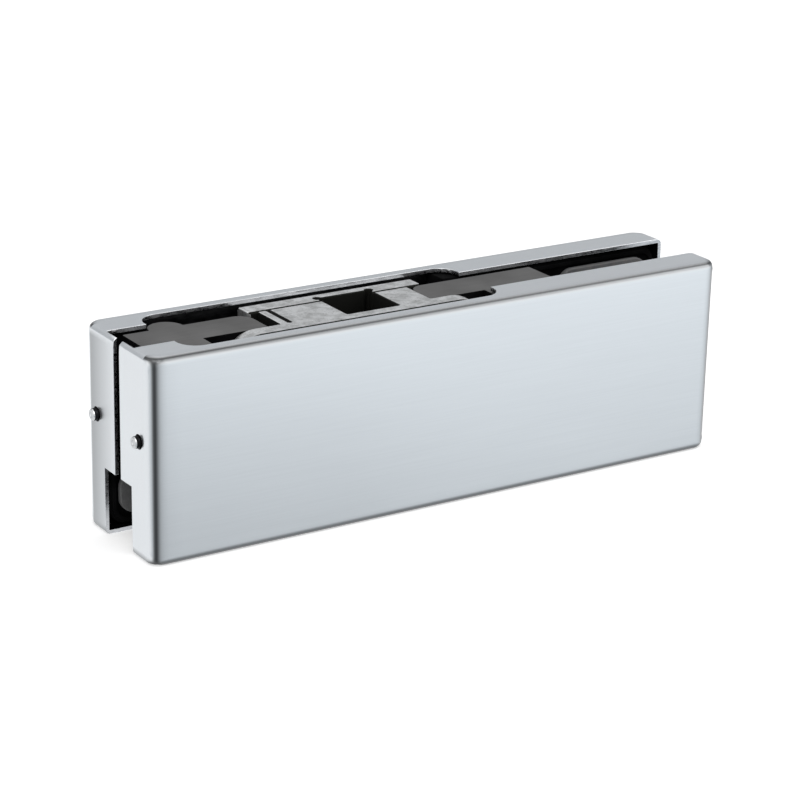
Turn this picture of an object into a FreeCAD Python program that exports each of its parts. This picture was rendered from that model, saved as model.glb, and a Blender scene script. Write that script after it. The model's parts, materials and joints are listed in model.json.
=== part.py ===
import FreeCAD, Part
import math
import os
from types import SimpleNamespace

import Sketcher
from FreeCAD import Placement, Rotation, Vector

# Glass patch fitting: two clamp halves under pressed covers, a glass slot between them and a pivot insert.
# +X runs along the fitting away from the hinge side, +Y from the front cover to the rear cover, +Z up.
# The origin is the middle of the base, and sizes are in millimetres.

SIZES = {
    # overall body and pressed covers
    "fitting_length": 164.0,
    "fitting_depth": 34.0,
    "fitting_height": 51.0,
    "cover_wall": 1.1,
    "flange_depth": 10.0,
    "end_wall_depth": 15.5,
    "cover_edge_radius": 2.4,
    "cover_corner_radius": 1.0,
    "cover_inner_radius": 0.9,
    "cutout_start": 11.5,
    "cutout_end": 99.6,
    "rim_depth": 4.0,
    "cutout_radius": 5.0,
    # glass and what grips it
    "glass_gap": 13.0,
    "glass_edge_height": 17.1,
    "closing_travel": 1.3,
    "closed_gap": 0.1,
    "pad_thickness": 1.6,
    "pad_left": 3.9,
    "pad_right_margin": 4.9,
    "pad_bottom": 4.5,
    "pad_edge_gap": 2.1,
    "pad_spacer_gap": 10.0,
    "pad_top_margin": 4.0,
    "pad_corner_radius": 4.0,
    # castings inside the covers
    "cast_gap": 0.4,
    "cast_chamfer": 0.9,
    "cast_corner": 5.0,
    "bead_inset": 0.7,
    "bead_width": 1.1,
    "bead_height": 0.9,
    "bead_spacer_gap": 1.5,
    "spacer_start": 5.0,
    "spacer_end": 121.0,
    "spacer_lift": 0.9,
    "lug_place": 16.5,
    "lug_radius": 4.5,
    "neck_round": 4.0,
    "window_room": 1.6,
    "window_round": 6.0,
    "rear_window_start": 10.5,
    "rear_window_room": 7.5,
    "rear_window_round": 2.0,
    "core_depth": 4.4,
    "core_length": 17.0,
    "core_height": 9.0,
    "core_pitch": 22.0,
    "core_count": 5,
    "core_start": 25.5,
    "core_bottom": 4.4,
    "end_core_spacer_gap": 4.5,
    "end_core_wall": 1.5,
    "end_core_height": 25.0,
    "end_core_bottom": 18.0,
    # pivot insert
    "spindle_place": 66.5,
    "adjust_travel": 3.0,
    "adjust_gap": 0.2,
    "slide_gap": 0.05,
    "floor_gap": 0.2,
    "insert_height": 17.8,
    "insert_top_gap": 0.2,
    "plate_front": 1.7,
    "plate_thickness": 10.8,
    "plate_left": 41.5,
    "plate_right": 31.5,
    "plate_chamfer": 0.5,
    "block_left": 25.3,
    "block_right": 17.1,
    "rear_plate_left": 27.8,
    "rear_plate_right": 21.5,
    "rear_plate_thickness": 5.5,
    "rear_plate_chamfer": 0.7,
    "spindle_width": 14.8,
    "spindle_taper": 0.7,
    "spindle_front": 11.5,
    "spindle_bite": 2.0,
    "relief_radius": 0.9,
    "cup_diameter": 13.8,
    "cup_depth": 7.5,
    "cup_chamfer": 2.5,
    "groove_front": 3.7,
    "groove_width": 3.9,
    "groove_depth": 0.8,
    "mark_inset": 2.2,
    "mark_width": 0.8,
    "mark_depth": 0.5,
    # screws and washers
    "thread_gap": 0.05,
    "clamp_screw_diameter": 8.0,
    "clamp_head_diameter": 13.0,
    "clamp_head_height": 5.0,
    "clamp_hex": 5.0,
    "clamp_hex_depth": 3.0,
    "clamp_hole_gap": 0.3,
    "clamp_washer_diameter": 14.0,
    "clamp_washer_thickness": 1.4,
    "counterbore_gap": 0.3,
    "head_gap": 0.2,
    "clamp_left": 14.0,
    "clamp_middle": 66.0,
    "clamp_spacer_inset": 9.0,
    "clamp_insert_gap": 1.1,
    "insert_screw_left": 14.0,
    "insert_screw_right": 13.1,
    "insert_screw_diameter": 6.0,
    "insert_screw_length": 22.0,
    "insert_head_diameter": 9.5,
    "insert_head_height": 2.6,
    "insert_hex": 4.0,
    "insert_hex_depth": 1.6,
    "insert_washer_diameter": 10.0,
    "insert_washer_thickness": 0.8,
    "mouth_chamfer": 0.7,
    "lock_screw_diameter": 3.0,
    "lock_screw_length": 8.0,
    "lock_screw_stand": 1.4,
    "lock_bore_room": 0.8,
    "lock_hole_gap": 0.3,
    "lock_height": 29.5,
    "lock_wall": 2.7,
    "screw_chamfer": 0.4,
}

FRONT = -1
REAR = 1
LEFT = -1
RIGHT = 1
ALONG_X = Vector(1, 0, 0)
ALONG_Y = Vector(0, 1, 0)
ALONG_Z = Vector(0, 0, 1)

doc = FreeCAD.newDocument("glass_patch_fitting")
sheet = doc.addObject("Spreadsheet::Sheet", "Sizes")
for row, (alias, number) in enumerate(SIZES.items(), start=1):
    sheet.set(f"A{row}", alias)
    sheet.set(f"B{row}", str(number))
    sheet.setAlias(f"B{row}", alias)
doc.recompute()


class Size:
    """A length, with the sheet expression that gives it."""

    def __init__(self, number, text):
        self.number = number
        self.text = text

    def __add__(self, other):
        other = as_size(other)
        return Size(self.number + other.number, f"({self.text} + {other.text})")

    def __sub__(self, other):
        other = as_size(other)
        return Size(self.number - other.number, f"({self.text} - {other.text})")

    def __mul__(self, other):
        other = as_size(other)
        return Size(self.number * other.number, f"({self.text} * {other.text})")

    def __truediv__(self, other):
        other = as_size(other)
        return Size(self.number / other.number, f"({self.text} / {other.text})")

    def __neg__(self):
        return self * -1

    def __radd__(self, other):
        return as_size(other) + self

    def __rsub__(self, other):
        return as_size(other) - self

    def __rmul__(self, other):
        return as_size(other) * self


def as_size(thing):
    """The thing as a Size: a plain number stands for itself."""
    if isinstance(thing, Size):
        return thing
    return Size(float(thing), f"({float(thing)!r})")


size = SimpleNamespace(**{alias: Size(float(number), f"Sizes.{alias}") for alias, number in SIZES.items()})


def bind(item, path, length):
    """Tie one value of a document object to the sheet."""
    item.setExpression(path, as_size(length).text)


# Places that several pieces share


def from_left(distance):
    """X of a place measured from the hinge end."""
    return distance - size.fitting_length / 2


def under_face(side, depth):
    """Y of a place measured inwards from a cover's outer face."""
    return side * (size.fitting_depth / 2 - depth)


left_end = from_left(0)
right_end = from_left(size.fitting_length)
cast_back = size.cover_wall + size.cast_gap
cast_left = left_end + cast_back
cast_right = right_end - cast_back
cast_top = size.fitting_height - cast_back
cast_face = (size.fitting_depth - size.glass_gap) / 2 - size.pad_thickness
spacer_rear = size.fitting_depth - cast_face - size.closing_travel - size.closed_gap
spacer_bottom = size.glass_edge_height + size.spacer_lift

insert_top = size.fitting_height - size.cover_wall - size.insert_top_gap
insert_bottom = insert_top - size.insert_height
insert_middle = insert_bottom + size.insert_height / 2
spindle_x = from_left(size.spindle_place)
plate_back = size.plate_front + size.plate_thickness
block_back = spacer_rear + size.slide_gap
rear_plate_back = block_back + size.rear_plate_thickness
plate_start = spindle_x - size.plate_left
plate_end = spindle_x + size.plate_right
block_start = spindle_x - size.block_left
block_end = spindle_x + size.block_right
rear_plate_start = spindle_x - size.rear_plate_left
rear_plate_end = spindle_x + size.rear_plate_right

# At rest the insert stands at the far end of its adjustment, so the room for it lies towards the hinge side.
neck_start = block_start - size.adjust_travel - size.adjust_gap
neck_end = block_end + size.adjust_gap
window_start = plate_start - size.adjust_travel - size.window_room
window_end = plate_end + size.window_room
rear_window_start = from_left(size.rear_window_start)
rear_window_end = rear_plate_end + size.rear_window_room
rear_window_bottom = insert_bottom - size.floor_gap

clamp_bore = size.clamp_screw_diameter + 2 * size.thread_gap
clamp_hole = size.clamp_screw_diameter + 2 * size.clamp_hole_gap
clamp_counterbore = size.clamp_washer_diameter + 2 * size.counterbore_gap
clamp_seat = cast_back + size.head_gap + size.clamp_head_height + size.clamp_washer_thickness
clamp_tip = size.fitting_depth - cast_back - size.closing_travel - size.head_gap
clamp_length = clamp_tip - clamp_seat + size.clamp_washer_thickness
clamp_low = insert_bottom - size.clamp_insert_gap - size.clamp_washer_diameter / 2
spacer_middle = spacer_bottom + (cast_top - spacer_bottom) / 2
clamp_places = {
    "left": (from_left(size.clamp_left), clamp_low),
    "middle": (from_left(size.clamp_middle), clamp_low),
    "right": (from_left(size.spacer_end - size.clamp_spacer_inset), spacer_middle),
}

insert_thread = size.insert_screw_diameter + 2 * size.thread_gap
insert_hole = size.insert_screw_diameter + 2 * size.clamp_hole_gap
insert_counterbore = size.insert_washer_diameter + 2 * size.counterbore_gap
insert_seat = rear_plate_back - size.head_gap - size.insert_head_height - size.insert_washer_thickness
insert_screw_places = {
    "left": spindle_x - size.insert_screw_left,
    "right": spindle_x + size.insert_screw_right,
}

lock_bore = size.lock_screw_diameter + 2 * size.thread_gap
lock_hole = size.lock_screw_diameter + 2 * size.lock_hole_gap
lock_inset = cast_face - size.lock_wall
lock_bore_length = size.lock_screw_length - size.lock_screw_stand + size.lock_bore_room


# Sketches and features

ORIGIN_POINT = (-1, 1)
NORMAL_SIGN = {"XY_Plane": 1, "XZ_Plane": -1, "YZ_Plane": 1}


def new_body(label):
    """A body whose label is the node's name."""
    body = doc.addObject("PartDesign::Body", label)
    body.Label = label
    return body


def new_sketch(body, name, plane, level):
    """An empty sketch on an origin plane, moved to a level along that plane's axis."""
    sketch = body.newObject("Sketcher::SketchObject", name)
    support = next(item for item in body.Origin.OriginFeatures if item.Role == plane)
    sketch.AttachmentSupport = [(support, "")]
    sketch.MapMode = "FlatFace"
    bind(sketch, "AttachmentOffset.Base.z", NORMAL_SIGN[plane] * as_size(level))
    return sketch


def tie_point(sketch, edge, point, place):
    """Fix a point of an edge at sheet-driven distances from the sketch origin."""
    for kind, length in zip(("DistanceX", "DistanceY"), place):
        if length is None:
            continue
        number = as_size(length).number
        index = sketch.addConstraint(Sketcher.Constraint(kind, *ORIGIN_POINT, edge, point, number))
        label = f"{kind}_{edge}_{point}"
        sketch.renameConstraint(index, label)
        bind(sketch, f"Constraints.{label}", length)


def draw_outline(sketch, corners, arcs=None):
    """A closed anticlockwise outline through the corners.

    arcs maps the number of a corner to the centre's x of an arc that leaves it, where the edge is round.
    """
    arcs = arcs or {}
    spots = [Vector(as_size(x).number, as_size(y).number, 0) for x, y in corners]
    count = len(corners)
    for index, (start, end) in enumerate(zip(spots, spots[1:] + spots[:1])):
        if index in arcs:
            centre = Vector(as_size(arcs[index]).number, (start.y + end.y) / 2, 0)
            circle = Part.Circle(centre, Vector(0, 0, 1), (start - centre).Length)
            angles = [math.atan2(spot.y - centre.y, spot.x - centre.x) for spot in (start, end)]
            sketch.addGeometry(Part.ArcOfCircle(circle, *angles), False)
        else:
            sketch.addGeometry(Part.LineSegment(start, end), False)
    for index in range(count):
        sketch.addConstraint(Sketcher.Constraint("Coincident", index, 2, (index + 1) % count, 1))
        tie_point(sketch, index, 1, corners[index])
    for index, centre in arcs.items():
        tie_point(sketch, index, 3, (centre, None))


def draw_circles(sketch, places, diameter):
    """Circles of one diameter, each at its own sheet-driven place."""
    for place in places:
        spot = Vector(as_size(place[0]).number, as_size(place[1]).number, 0)
        edge = sketch.addGeometry(Part.Circle(spot, Vector(0, 0, 1), diameter.number / 2), False)
        tie_point(sketch, edge, 3, place)
        index = sketch.addConstraint(Sketcher.Constraint("Diameter", edge, diameter.number))
        sketch.renameConstraint(index, f"diameter_{edge}")
        bind(sketch, f"Constraints.diameter_{edge}", diameter)


def box_corners(x_low, y_low, x_high, y_high):
    """Corners of an upright rectangle, anticlockwise."""
    return [(x_low, y_low), (x_high, y_low), (x_high, y_high), (x_low, y_high)]


def extrude(body, kind, name, plane, start, stop, draw):
    """Pad or Pocket between two levels along a plane's axis, with the outline that draw adds."""
    sketch = new_sketch(body, f"{name}_sketch", plane, start)
    draw(sketch)
    feature = body.newObject(f"PartDesign::{kind}", name)
    feature.Profile = sketch
    feature.Type = "Length"
    upwards = as_size(stop).number > as_size(start).number
    bind(feature, "Length", stop - start if upwards else start - stop)
    along_normal = upwards == (NORMAL_SIGN[plane] > 0)
    feature.Reversed = along_normal == (kind == "Pocket")
    doc.recompute()
    return feature


def pad_box(body, name, side, shallow, deep, corners):
    """Solid with an outline in the XZ plane, between two depths under a cover's face."""
    start, stop = under_face(side, shallow), under_face(side, deep)
    return extrude(body, "Pad", name, "XZ_Plane", start, stop, lambda sketch: draw_outline(sketch, corners))


def pocket_box(body, name, side, shallow, deep, corners):
    """Hollow with an outline in the XZ plane, between two depths under a cover's face."""
    start, stop = under_face(side, shallow), under_face(side, deep)
    return extrude(
        body, "Pocket", name, "XZ_Plane", start, stop, lambda sketch: draw_outline(sketch, corners)
    )


def pocket_round(body, name, side, shallow, deep, places, diameter):
    """Round holes along Y, between two depths under a cover's face."""
    start, stop = under_face(side, shallow), under_face(side, deep)
    return extrude(
        body, "Pocket", name, "XZ_Plane", start, stop, lambda sketch: draw_circles(sketch, places, diameter)
    )


def edge_names(feature, wanted):
    """Names of the edges of a feature for which wanted(edge) holds."""
    return [f"Edge{number}" for number, edge in enumerate(feature.Shape.Edges, start=1) if wanted(edge)]


def near(value, *lengths):
    """Whether a coordinate equals one of the lengths."""
    return any(abs(value - as_size(length).number) < 1e-4 for length in lengths)


def runs_along(edge, axis):
    """Whether a straight edge runs along an axis."""
    if len(edge.Vertexes) != 2:
        return False
    span = edge.Vertexes[1].Point - edge.Vertexes[0].Point
    return abs(abs(span.dot(axis)) - edge.Length) < 1e-6


def is_ring(edge):
    """Whether an edge closes on itself."""
    return len(edge.Vertexes) == 1 and edge.Length > 1e-6


def spot_of(edge):
    """Middle of an edge's bounding box."""
    return edge.BoundBox.Center


def dress(body, kind, name, base, wanted, length):
    """Fillet or Chamfer of the wanted edges of the last feature."""
    names = edge_names(base, wanted)
    if not names:
        raise RuntimeError(f"{name} finds no edge")
    feature = body.newObject(f"PartDesign::{kind}", name)
    feature.Base = (base, names)
    bind(feature, "Radius" if kind == "Fillet" else "Size", length)
    doc.recompute()
    return feature


# Covers


def make_cover(label, side):
    """A pressed cover: face, top and bottom flanges, and end walls, with a cut-out over the insert."""
    body = new_body(label)
    outer = under_face(side, 0)
    full = box_corners(left_end, 0, right_end, size.fitting_height)
    pad_box(body, f"{label}_blank", side, 0, size.flange_depth, full)
    tongue = box_corners(left_end, size.glass_edge_height, left_end + size.cover_wall, size.fitting_height)
    blank = pad_box(body, f"{label}_end_wall", side, size.flange_depth, size.end_wall_depth, tongue)

    def on_face_border(edge):
        return near(spot_of(edge).y, outer) and edge.BoundBox.YLength < 1e-4

    border = dress(body, "Fillet", f"{label}_border", blank, on_face_border, size.cover_edge_radius)

    def on_outer_corner(edge):
        box = edge.BoundBox
        at_side = near(box.XMin, left_end) or near(box.XMax, right_end)
        at_level = near(box.ZMin, 0) or near(box.ZMax, size.fitting_height)
        return at_side and at_level and runs_along(edge, ALONG_Y)

    corners = dress(body, "Fillet", f"{label}_corners", border, on_outer_corner, size.cover_corner_radius)

    inner = box_corners(
        left_end + size.cover_wall,
        size.cover_wall,
        right_end - size.cover_wall,
        size.fitting_height - size.cover_wall,
    )
    hollow = pocket_box(body, f"{label}_hollow", side, size.cover_wall, size.end_wall_depth, inner)

    def on_inner_border(edge):
        return near(spot_of(edge).y, under_face(side, size.cover_wall)) and edge.BoundBox.YLength < 1e-4

    dress(body, "Fillet", f"{label}_inner_border", hollow, on_inner_border, size.cover_inner_radius)

    cut = extrude(
        body,
        "Pocket",
        f"{label}_cutout",
        "XY_Plane",
        size.fitting_height - 2 * size.cover_wall,
        size.fitting_height + size.cover_wall,
        lambda sketch: draw_outline(
            sketch,
            box_corners(
                from_left(size.cutout_start),
                under_face(side, size.rim_depth),
                from_left(size.cutout_end),
                under_face(side, size.flange_depth + size.cover_wall),
            ),
        ),
    )

    def on_rim_corner(edge):
        spot = spot_of(edge)
        at_end = near(spot.x, from_left(size.cutout_start), from_left(size.cutout_end))
        return runs_along(edge, ALONG_Z) and at_end and near(spot.y, under_face(side, size.rim_depth))

    dress(body, "Fillet", f"{label}_cutout_round", cut, on_rim_corner, size.cutout_radius)
    extrude(
        body,
        "Pocket",
        f"{label}_lock_holes",
        "YZ_Plane",
        left_end - size.cover_wall,
        right_end + size.cover_wall,
        lambda sketch: draw_circles(sketch, [(under_face(side, lock_inset), size.lock_height)], lock_hole),
    )
    return body


# Castings


def glass_side_corners(left, bottom, right, top, step_x, step_z):
    """L-shaped outline of the casting's part that faces the glass: a strip below and a leg at the far end."""
    return [(left, bottom), (right, bottom), (right, top), (step_x, top), (step_x, step_z), (left, step_z)]


def make_casting_plate(label, side):
    """The plate that fills a cover, with a bead round the glass and a chamfer along the cover's bends."""
    body = new_body(label)
    corners = box_corners(cast_left, cast_back, cast_right, cast_top)
    pad_box(body, f"{label}_plate", side, cast_back, cast_face, corners)
    bead = add_bead(body, side)

    def on_plate_corner(edge):
        spot = spot_of(edge)
        at_side = near(spot.x, cast_left, cast_right)
        return runs_along(edge, ALONG_Y) and at_side and near(spot.z, cast_back, cast_top)

    rounded = dress(body, "Fillet", f"{label}_corners", bead, on_plate_corner, size.cast_corner)

    def on_back_border(edge):
        return near(spot_of(edge).y, under_face(side, cast_back)) and edge.BoundBox.YLength < 1e-4

    dress(body, "Chamfer", f"{label}_chamfer", rounded, on_back_border, size.cast_chamfer)
    return body


def add_bead(body, side):
    """Raised bead along the casting's outline beside the glass, which keeps the gasket in its place."""
    name = f"{body.Label}_bead"
    bead_face = cast_face + size.bead_height
    width = size.bead_width
    step_x = from_left(size.spacer_end + size.bead_spacer_gap)
    step_z = spacer_bottom - size.bead_spacer_gap
    left, bottom = cast_left + size.bead_inset, cast_back + size.bead_inset
    right, top = cast_right - size.bead_inset, cast_top - size.bead_inset
    outline = glass_side_corners(left, bottom, right, top, step_x, step_z)
    pad_box(body, name, side, cast_face, bead_face, outline)
    floor_outline = glass_side_corners(
        left + width, bottom + width, right - width, top - width, step_x - width, step_z + width
    )
    bead = pocket_box(body, f"{name}_floor", side, cast_face, bead_face + width, floor_outline)
    outer_round = size.cast_corner - size.bead_inset
    for place, inset, radius in (("outer", as_size(0), outer_round), ("inner", width, outer_round - width)):

        def on_bead_corner(edge, inset=inset):
            spot = spot_of(edge)
            at_bottom = near(spot.x, left + inset, right - inset) and near(spot.z, bottom + inset)
            at_top = near(spot.x, right - inset) and near(spot.z, top - inset)
            return runs_along(edge, ALONG_Y) and (at_bottom or at_top)

        bead = dress(body, "Fillet", f"{name}_{place}", bead, on_bead_corner, radius)
    return bead


def add_lock_bores(body, side):
    """Bores in both ends for the screws that lock the cover."""
    place = (under_face(side, lock_inset), size.lock_height)
    for name, outside, inside in (
        ("left", left_end, left_end + lock_bore_length),
        ("right", right_end, right_end - lock_bore_length),
    ):
        extrude(
            body,
            "Pocket",
            f"{body.Label}_lock_bore_{name}",
            "YZ_Plane",
            outside,
            inside,
            lambda sketch: draw_circles(sketch, [place], lock_bore),
        )


def add_cores(body, side):
    """Coring pockets in the hidden back: a row along the bottom and a pair at the glass end."""
    start = from_left(size.core_start)
    first = pocket_box(
        body,
        f"{body.Label}_core",
        side,
        cast_back,
        cast_back + size.core_depth,
        box_corners(start, size.core_bottom, start + size.core_length, size.core_bottom + size.core_height),
    )
    row = body.newObject("PartDesign::LinearPattern", f"{body.Label}_core_row")
    row.Originals = [first]
    row.Direction = (next(item for item in body.Origin.OriginFeatures if item.Role == "X_Axis"), [""])
    row.Mode = "Spacing"
    bind(row, "Offset", size.core_pitch)
    bind(row, "Occurrences", size.core_count)
    body.Tip = row
    doc.recompute()
    rib = size.core_pitch - size.core_length
    first_left = from_left(size.spacer_end + size.end_core_spacer_gap)
    last_right = right_end - lock_bore_length - size.end_core_wall
    width = (last_right - first_left - rib) / 2
    end_core_top = size.end_core_bottom + size.end_core_height
    for name, left in (("near", first_left), ("far", last_right - width)):
        pocket_box(
            body,
            f"{body.Label}_end_core_{name}",
            side,
            cast_back,
            cast_back + size.core_depth,
            box_corners(left, size.end_core_bottom, left + width, end_core_top),
        )


def make_front_clamp():
    """Front casting: plate, spacer that fills the glass notch, and the seat of the pivot insert."""
    side = FRONT
    body = make_casting_plate("front_clamp", side)
    spacer = box_corners(from_left(size.spacer_start), spacer_bottom, from_left(size.spacer_end), cast_top)
    pad_box(body, "front_clamp_spacer", side, cast_face, spacer_rear, spacer)
    extrude(
        body,
        "Pad",
        "front_clamp_lug",
        "XY_Plane",
        insert_bottom,
        cast_top,
        lambda sketch: draw_circles(
            sketch, [(from_left(size.lug_place), under_face(side, spacer_rear))], 2 * size.lug_radius
        ),
    )
    over_top = cast_top + size.cover_wall
    window = pocket_box(
        body,
        "front_clamp_window",
        side,
        0,
        plate_back + size.slide_gap,
        box_corners(window_start, insert_bottom, window_end, over_top),
    )

    def on_window_foot(edge):
        spot = spot_of(edge)
        at_end = near(spot.x, window_start, window_end)
        return runs_along(edge, ALONG_Y) and at_end and near(spot.z, insert_bottom)

    dress(body, "Fillet", "front_clamp_window_round", window, on_window_foot, size.window_round)
    neck = pocket_box(
        body,
        "front_clamp_neck",
        side,
        size.plate_front,
        spacer_rear + size.closed_gap,
        box_corners(neck_start, insert_bottom, neck_end, over_top),
    )

    def on_neck_corner(edge):
        spot = spot_of(edge)
        at_side = near(spot.x, neck_start, neck_end)
        return runs_along(edge, ALONG_Z) and at_side and near(spot.y, under_face(side, spacer_rear))

    dress(body, "Fillet", "front_clamp_neck_round", neck, on_neck_corner, size.neck_round)
    places = list(clamp_places.values())
    pocket_round(body, "front_clamp_holes", side, 0, spacer_rear + size.closed_gap, places, clamp_hole)
    pocket_round(body, "front_clamp_counterbores", side, 0, clamp_seat, places, clamp_counterbore)
    add_lock_bores(body, side)
    add_cores(body, side)
    return body


def make_rear_clamp():
    """Rear casting: plate with a window round the insert's rear plate and threads for the clamp screws."""
    side = REAR
    body = make_casting_plate("rear_clamp", side)
    over_top = cast_top + size.cover_wall
    window = pocket_box(
        body,
        "rear_clamp_window",
        side,
        0,
        cast_face + size.closed_gap,
        box_corners(rear_window_start, rear_window_bottom, rear_window_end, over_top),
    )

    def on_window_foot(edge):
        spot = spot_of(edge)
        at_end = near(spot.x, rear_window_start, rear_window_end)
        return runs_along(edge, ALONG_Y) and at_end and near(spot.z, rear_window_bottom)

    dress(body, "Fillet", "rear_clamp_window_round", window, on_window_foot, size.rear_window_round)
    places = list(clamp_places.values())
    pocket_round(body, "rear_clamp_threads", side, 0, cast_face + size.closed_gap, places, clamp_bore)
    add_lock_bores(body, side)
    add_cores(body, side)
    return body


# Gaskets


def make_gasket(label, side):
    """L-shaped pad between a casting and the glass: a strip along the bottom and a leg at the far end."""
    body = new_body(label)
    corners = glass_side_corners(
        from_left(size.pad_left),
        size.pad_bottom,
        right_end - size.pad_right_margin,
        size.fitting_height - size.pad_top_margin,
        from_left(size.spacer_end + size.pad_spacer_gap),
        size.glass_edge_height - size.pad_edge_gap,
    )
    pad = pad_box(body, f"{label}_pad", side, cast_face, cast_face + size.pad_thickness, corners)
    dress(
        body, "Fillet", f"{label}_round", pad, lambda edge: runs_along(edge, ALONG_Y), size.pad_corner_radius
    )
    return body


# Pivot insert


def spindle_corners():
    """Outline of the spindle socket seen from the front: it narrows downwards."""
    half = size.spindle_width / 2
    low = insert_bottom - size.floor_gap
    high = insert_top + size.floor_gap
    return [
        (spindle_x - half + size.spindle_taper, low),
        (spindle_x + half - size.spindle_taper, low),
        (spindle_x + half, high),
        (spindle_x - half, high),
    ]


def make_insert_body():
    """Cast insert: round-ended front plate with two cups, and the block with the spindle socket."""
    side = FRONT
    body = new_body("insert_body")
    radius = size.insert_height / 2
    left_centre = plate_start + radius
    right_centre = plate_end - radius
    rounded = [
        (left_centre, insert_bottom),
        (right_centre, insert_bottom),
        (right_centre, insert_top),
        (left_centre, insert_top),
    ]
    plate = extrude(
        body,
        "Pad",
        "insert_plate",
        "XZ_Plane",
        under_face(side, size.plate_front),
        under_face(side, plate_back),
        lambda sketch: draw_outline(sketch, rounded, {1: right_centre, 3: left_centre}),
    )

    def on_front_border(edge):
        return near(spot_of(edge).y, under_face(side, size.plate_front)) and edge.BoundBox.YLength < 1e-4

    dress(body, "Chamfer", "insert_plate_chamfer", plate, on_front_border, size.plate_chamfer)
    block = box_corners(block_start, insert_bottom, block_end, insert_top)
    pad_box(body, "insert_block", side, plate_back, block_back, block)
    socket_back = block_back + size.spindle_bite
    pocket_box(body, "insert_socket", side, size.spindle_front, socket_back, spindle_corners())
    centres = [(left_centre, insert_middle), (right_centre, insert_middle)]
    floor = size.plate_front + size.cup_depth
    cups = pocket_round(body, "insert_cups", side, 0, floor, centres, size.cup_diameter)

    def on_cup_floor(edge):
        return near(spot_of(edge).y, under_face(side, floor)) and is_ring(edge)

    dress(body, "Chamfer", "insert_cup_dish", cups, on_cup_floor, size.cup_chamfer)
    threads = [(x, insert_middle) for x in insert_screw_places.values()]
    beyond = block_back + size.closed_gap
    holes = pocket_round(body, "insert_threads", side, 0, beyond, threads, insert_thread)

    def on_thread_mouth(edge):
        spot = spot_of(edge)
        at_hole = any(near(spot.x, x) for x, _ in threads)
        return is_ring(edge) and at_hole and near(spot.y, under_face(side, size.plate_front))

    dress(body, "Chamfer", "insert_thread_mouths", holes, on_thread_mouth, size.mouth_chamfer)
    extrude(
        body,
        "Pocket",
        "insert_groove",
        "YZ_Plane",
        left_end,
        right_end,
        lambda sketch: draw_outline(
            sketch,
            box_corners(
                under_face(side, size.groove_front),
                insert_top - size.groove_depth,
                under_face(side, size.groove_front + size.groove_width),
                insert_top + size.groove_depth,
            ),
        ),
    )
    mark = block_start + size.mark_inset
    extrude(
        body,
        "Pocket",
        "insert_mark",
        "XY_Plane",
        insert_top - size.mark_depth,
        insert_top + size.mark_depth,
        lambda sketch: draw_outline(
            sketch,
            box_corners(
                mark,
                under_face(side, plate_back),
                mark + size.mark_width,
                under_face(side, block_back + size.mark_depth),
            ),
        ),
    )
    return body


def make_insert_rear_plate():
    """Plate that closes the socket's open back and grips the casting's spacer from behind."""
    side = FRONT
    body = new_body("insert_rear_plate")
    corners = box_corners(rear_plate_start, insert_bottom, rear_plate_end, insert_top)
    plate = pad_box(body, "rear_plate_blank", side, block_back, rear_plate_back, corners)

    def on_seen_corner(edge):
        spot = spot_of(edge)
        if runs_along(edge, ALONG_X):
            return near(spot.y, under_face(side, rear_plate_back))
        at_end = near(spot.x, rear_plate_start, rear_plate_end)
        return runs_along(edge, ALONG_Z) and at_end and near(spot.y, under_face(side, block_back))

    dress(body, "Chamfer", "rear_plate_chamfer", plate, on_seen_corner, size.rear_plate_chamfer)
    bite = block_back + size.spindle_bite
    pocket_box(body, "rear_plate_socket", side, block_back - size.closed_gap, bite, spindle_corners())
    half = size.spindle_width / 2
    reliefs = [(spindle_x - half, under_face(side, bite)), (spindle_x + half, under_face(side, bite))]
    extrude(
        body,
        "Pocket",
        "rear_plate_reliefs",
        "XY_Plane",
        insert_bottom - size.floor_gap,
        insert_top + size.floor_gap,
        lambda sketch: draw_circles(sketch, reliefs, 2 * size.relief_radius),
    )
    places = [(x, insert_middle) for x in insert_screw_places.values()]
    beyond = rear_plate_back + size.closed_gap
    pocket_round(body, "rear_plate_holes", side, block_back - size.closed_gap, beyond, places, insert_hole)
    pocket_round(body, "rear_plate_counterbores", side, insert_seat, beyond, places, insert_counterbore)
    return body


# Fasteners


def place_body(body, x, y, z, turn):
    """Put a body that was made at its own origin where it belongs."""
    body.Placement = Placement(Vector(0, 0, 0), turn)
    for axis, length in zip("xyz", (x, y, z)):
        bind(body, f"Placement.Base.{axis}", length)


HEAD_TO_FRONT = Rotation(ALONG_X, 90)
HEAD_TO_REAR = Rotation(ALONG_X, -90)
OUT_TO_LEFT = Rotation(ALONG_Y, -90)
OUT_TO_RIGHT = Rotation(ALONG_Y, 90)
HEX_SIDES = 6


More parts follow.
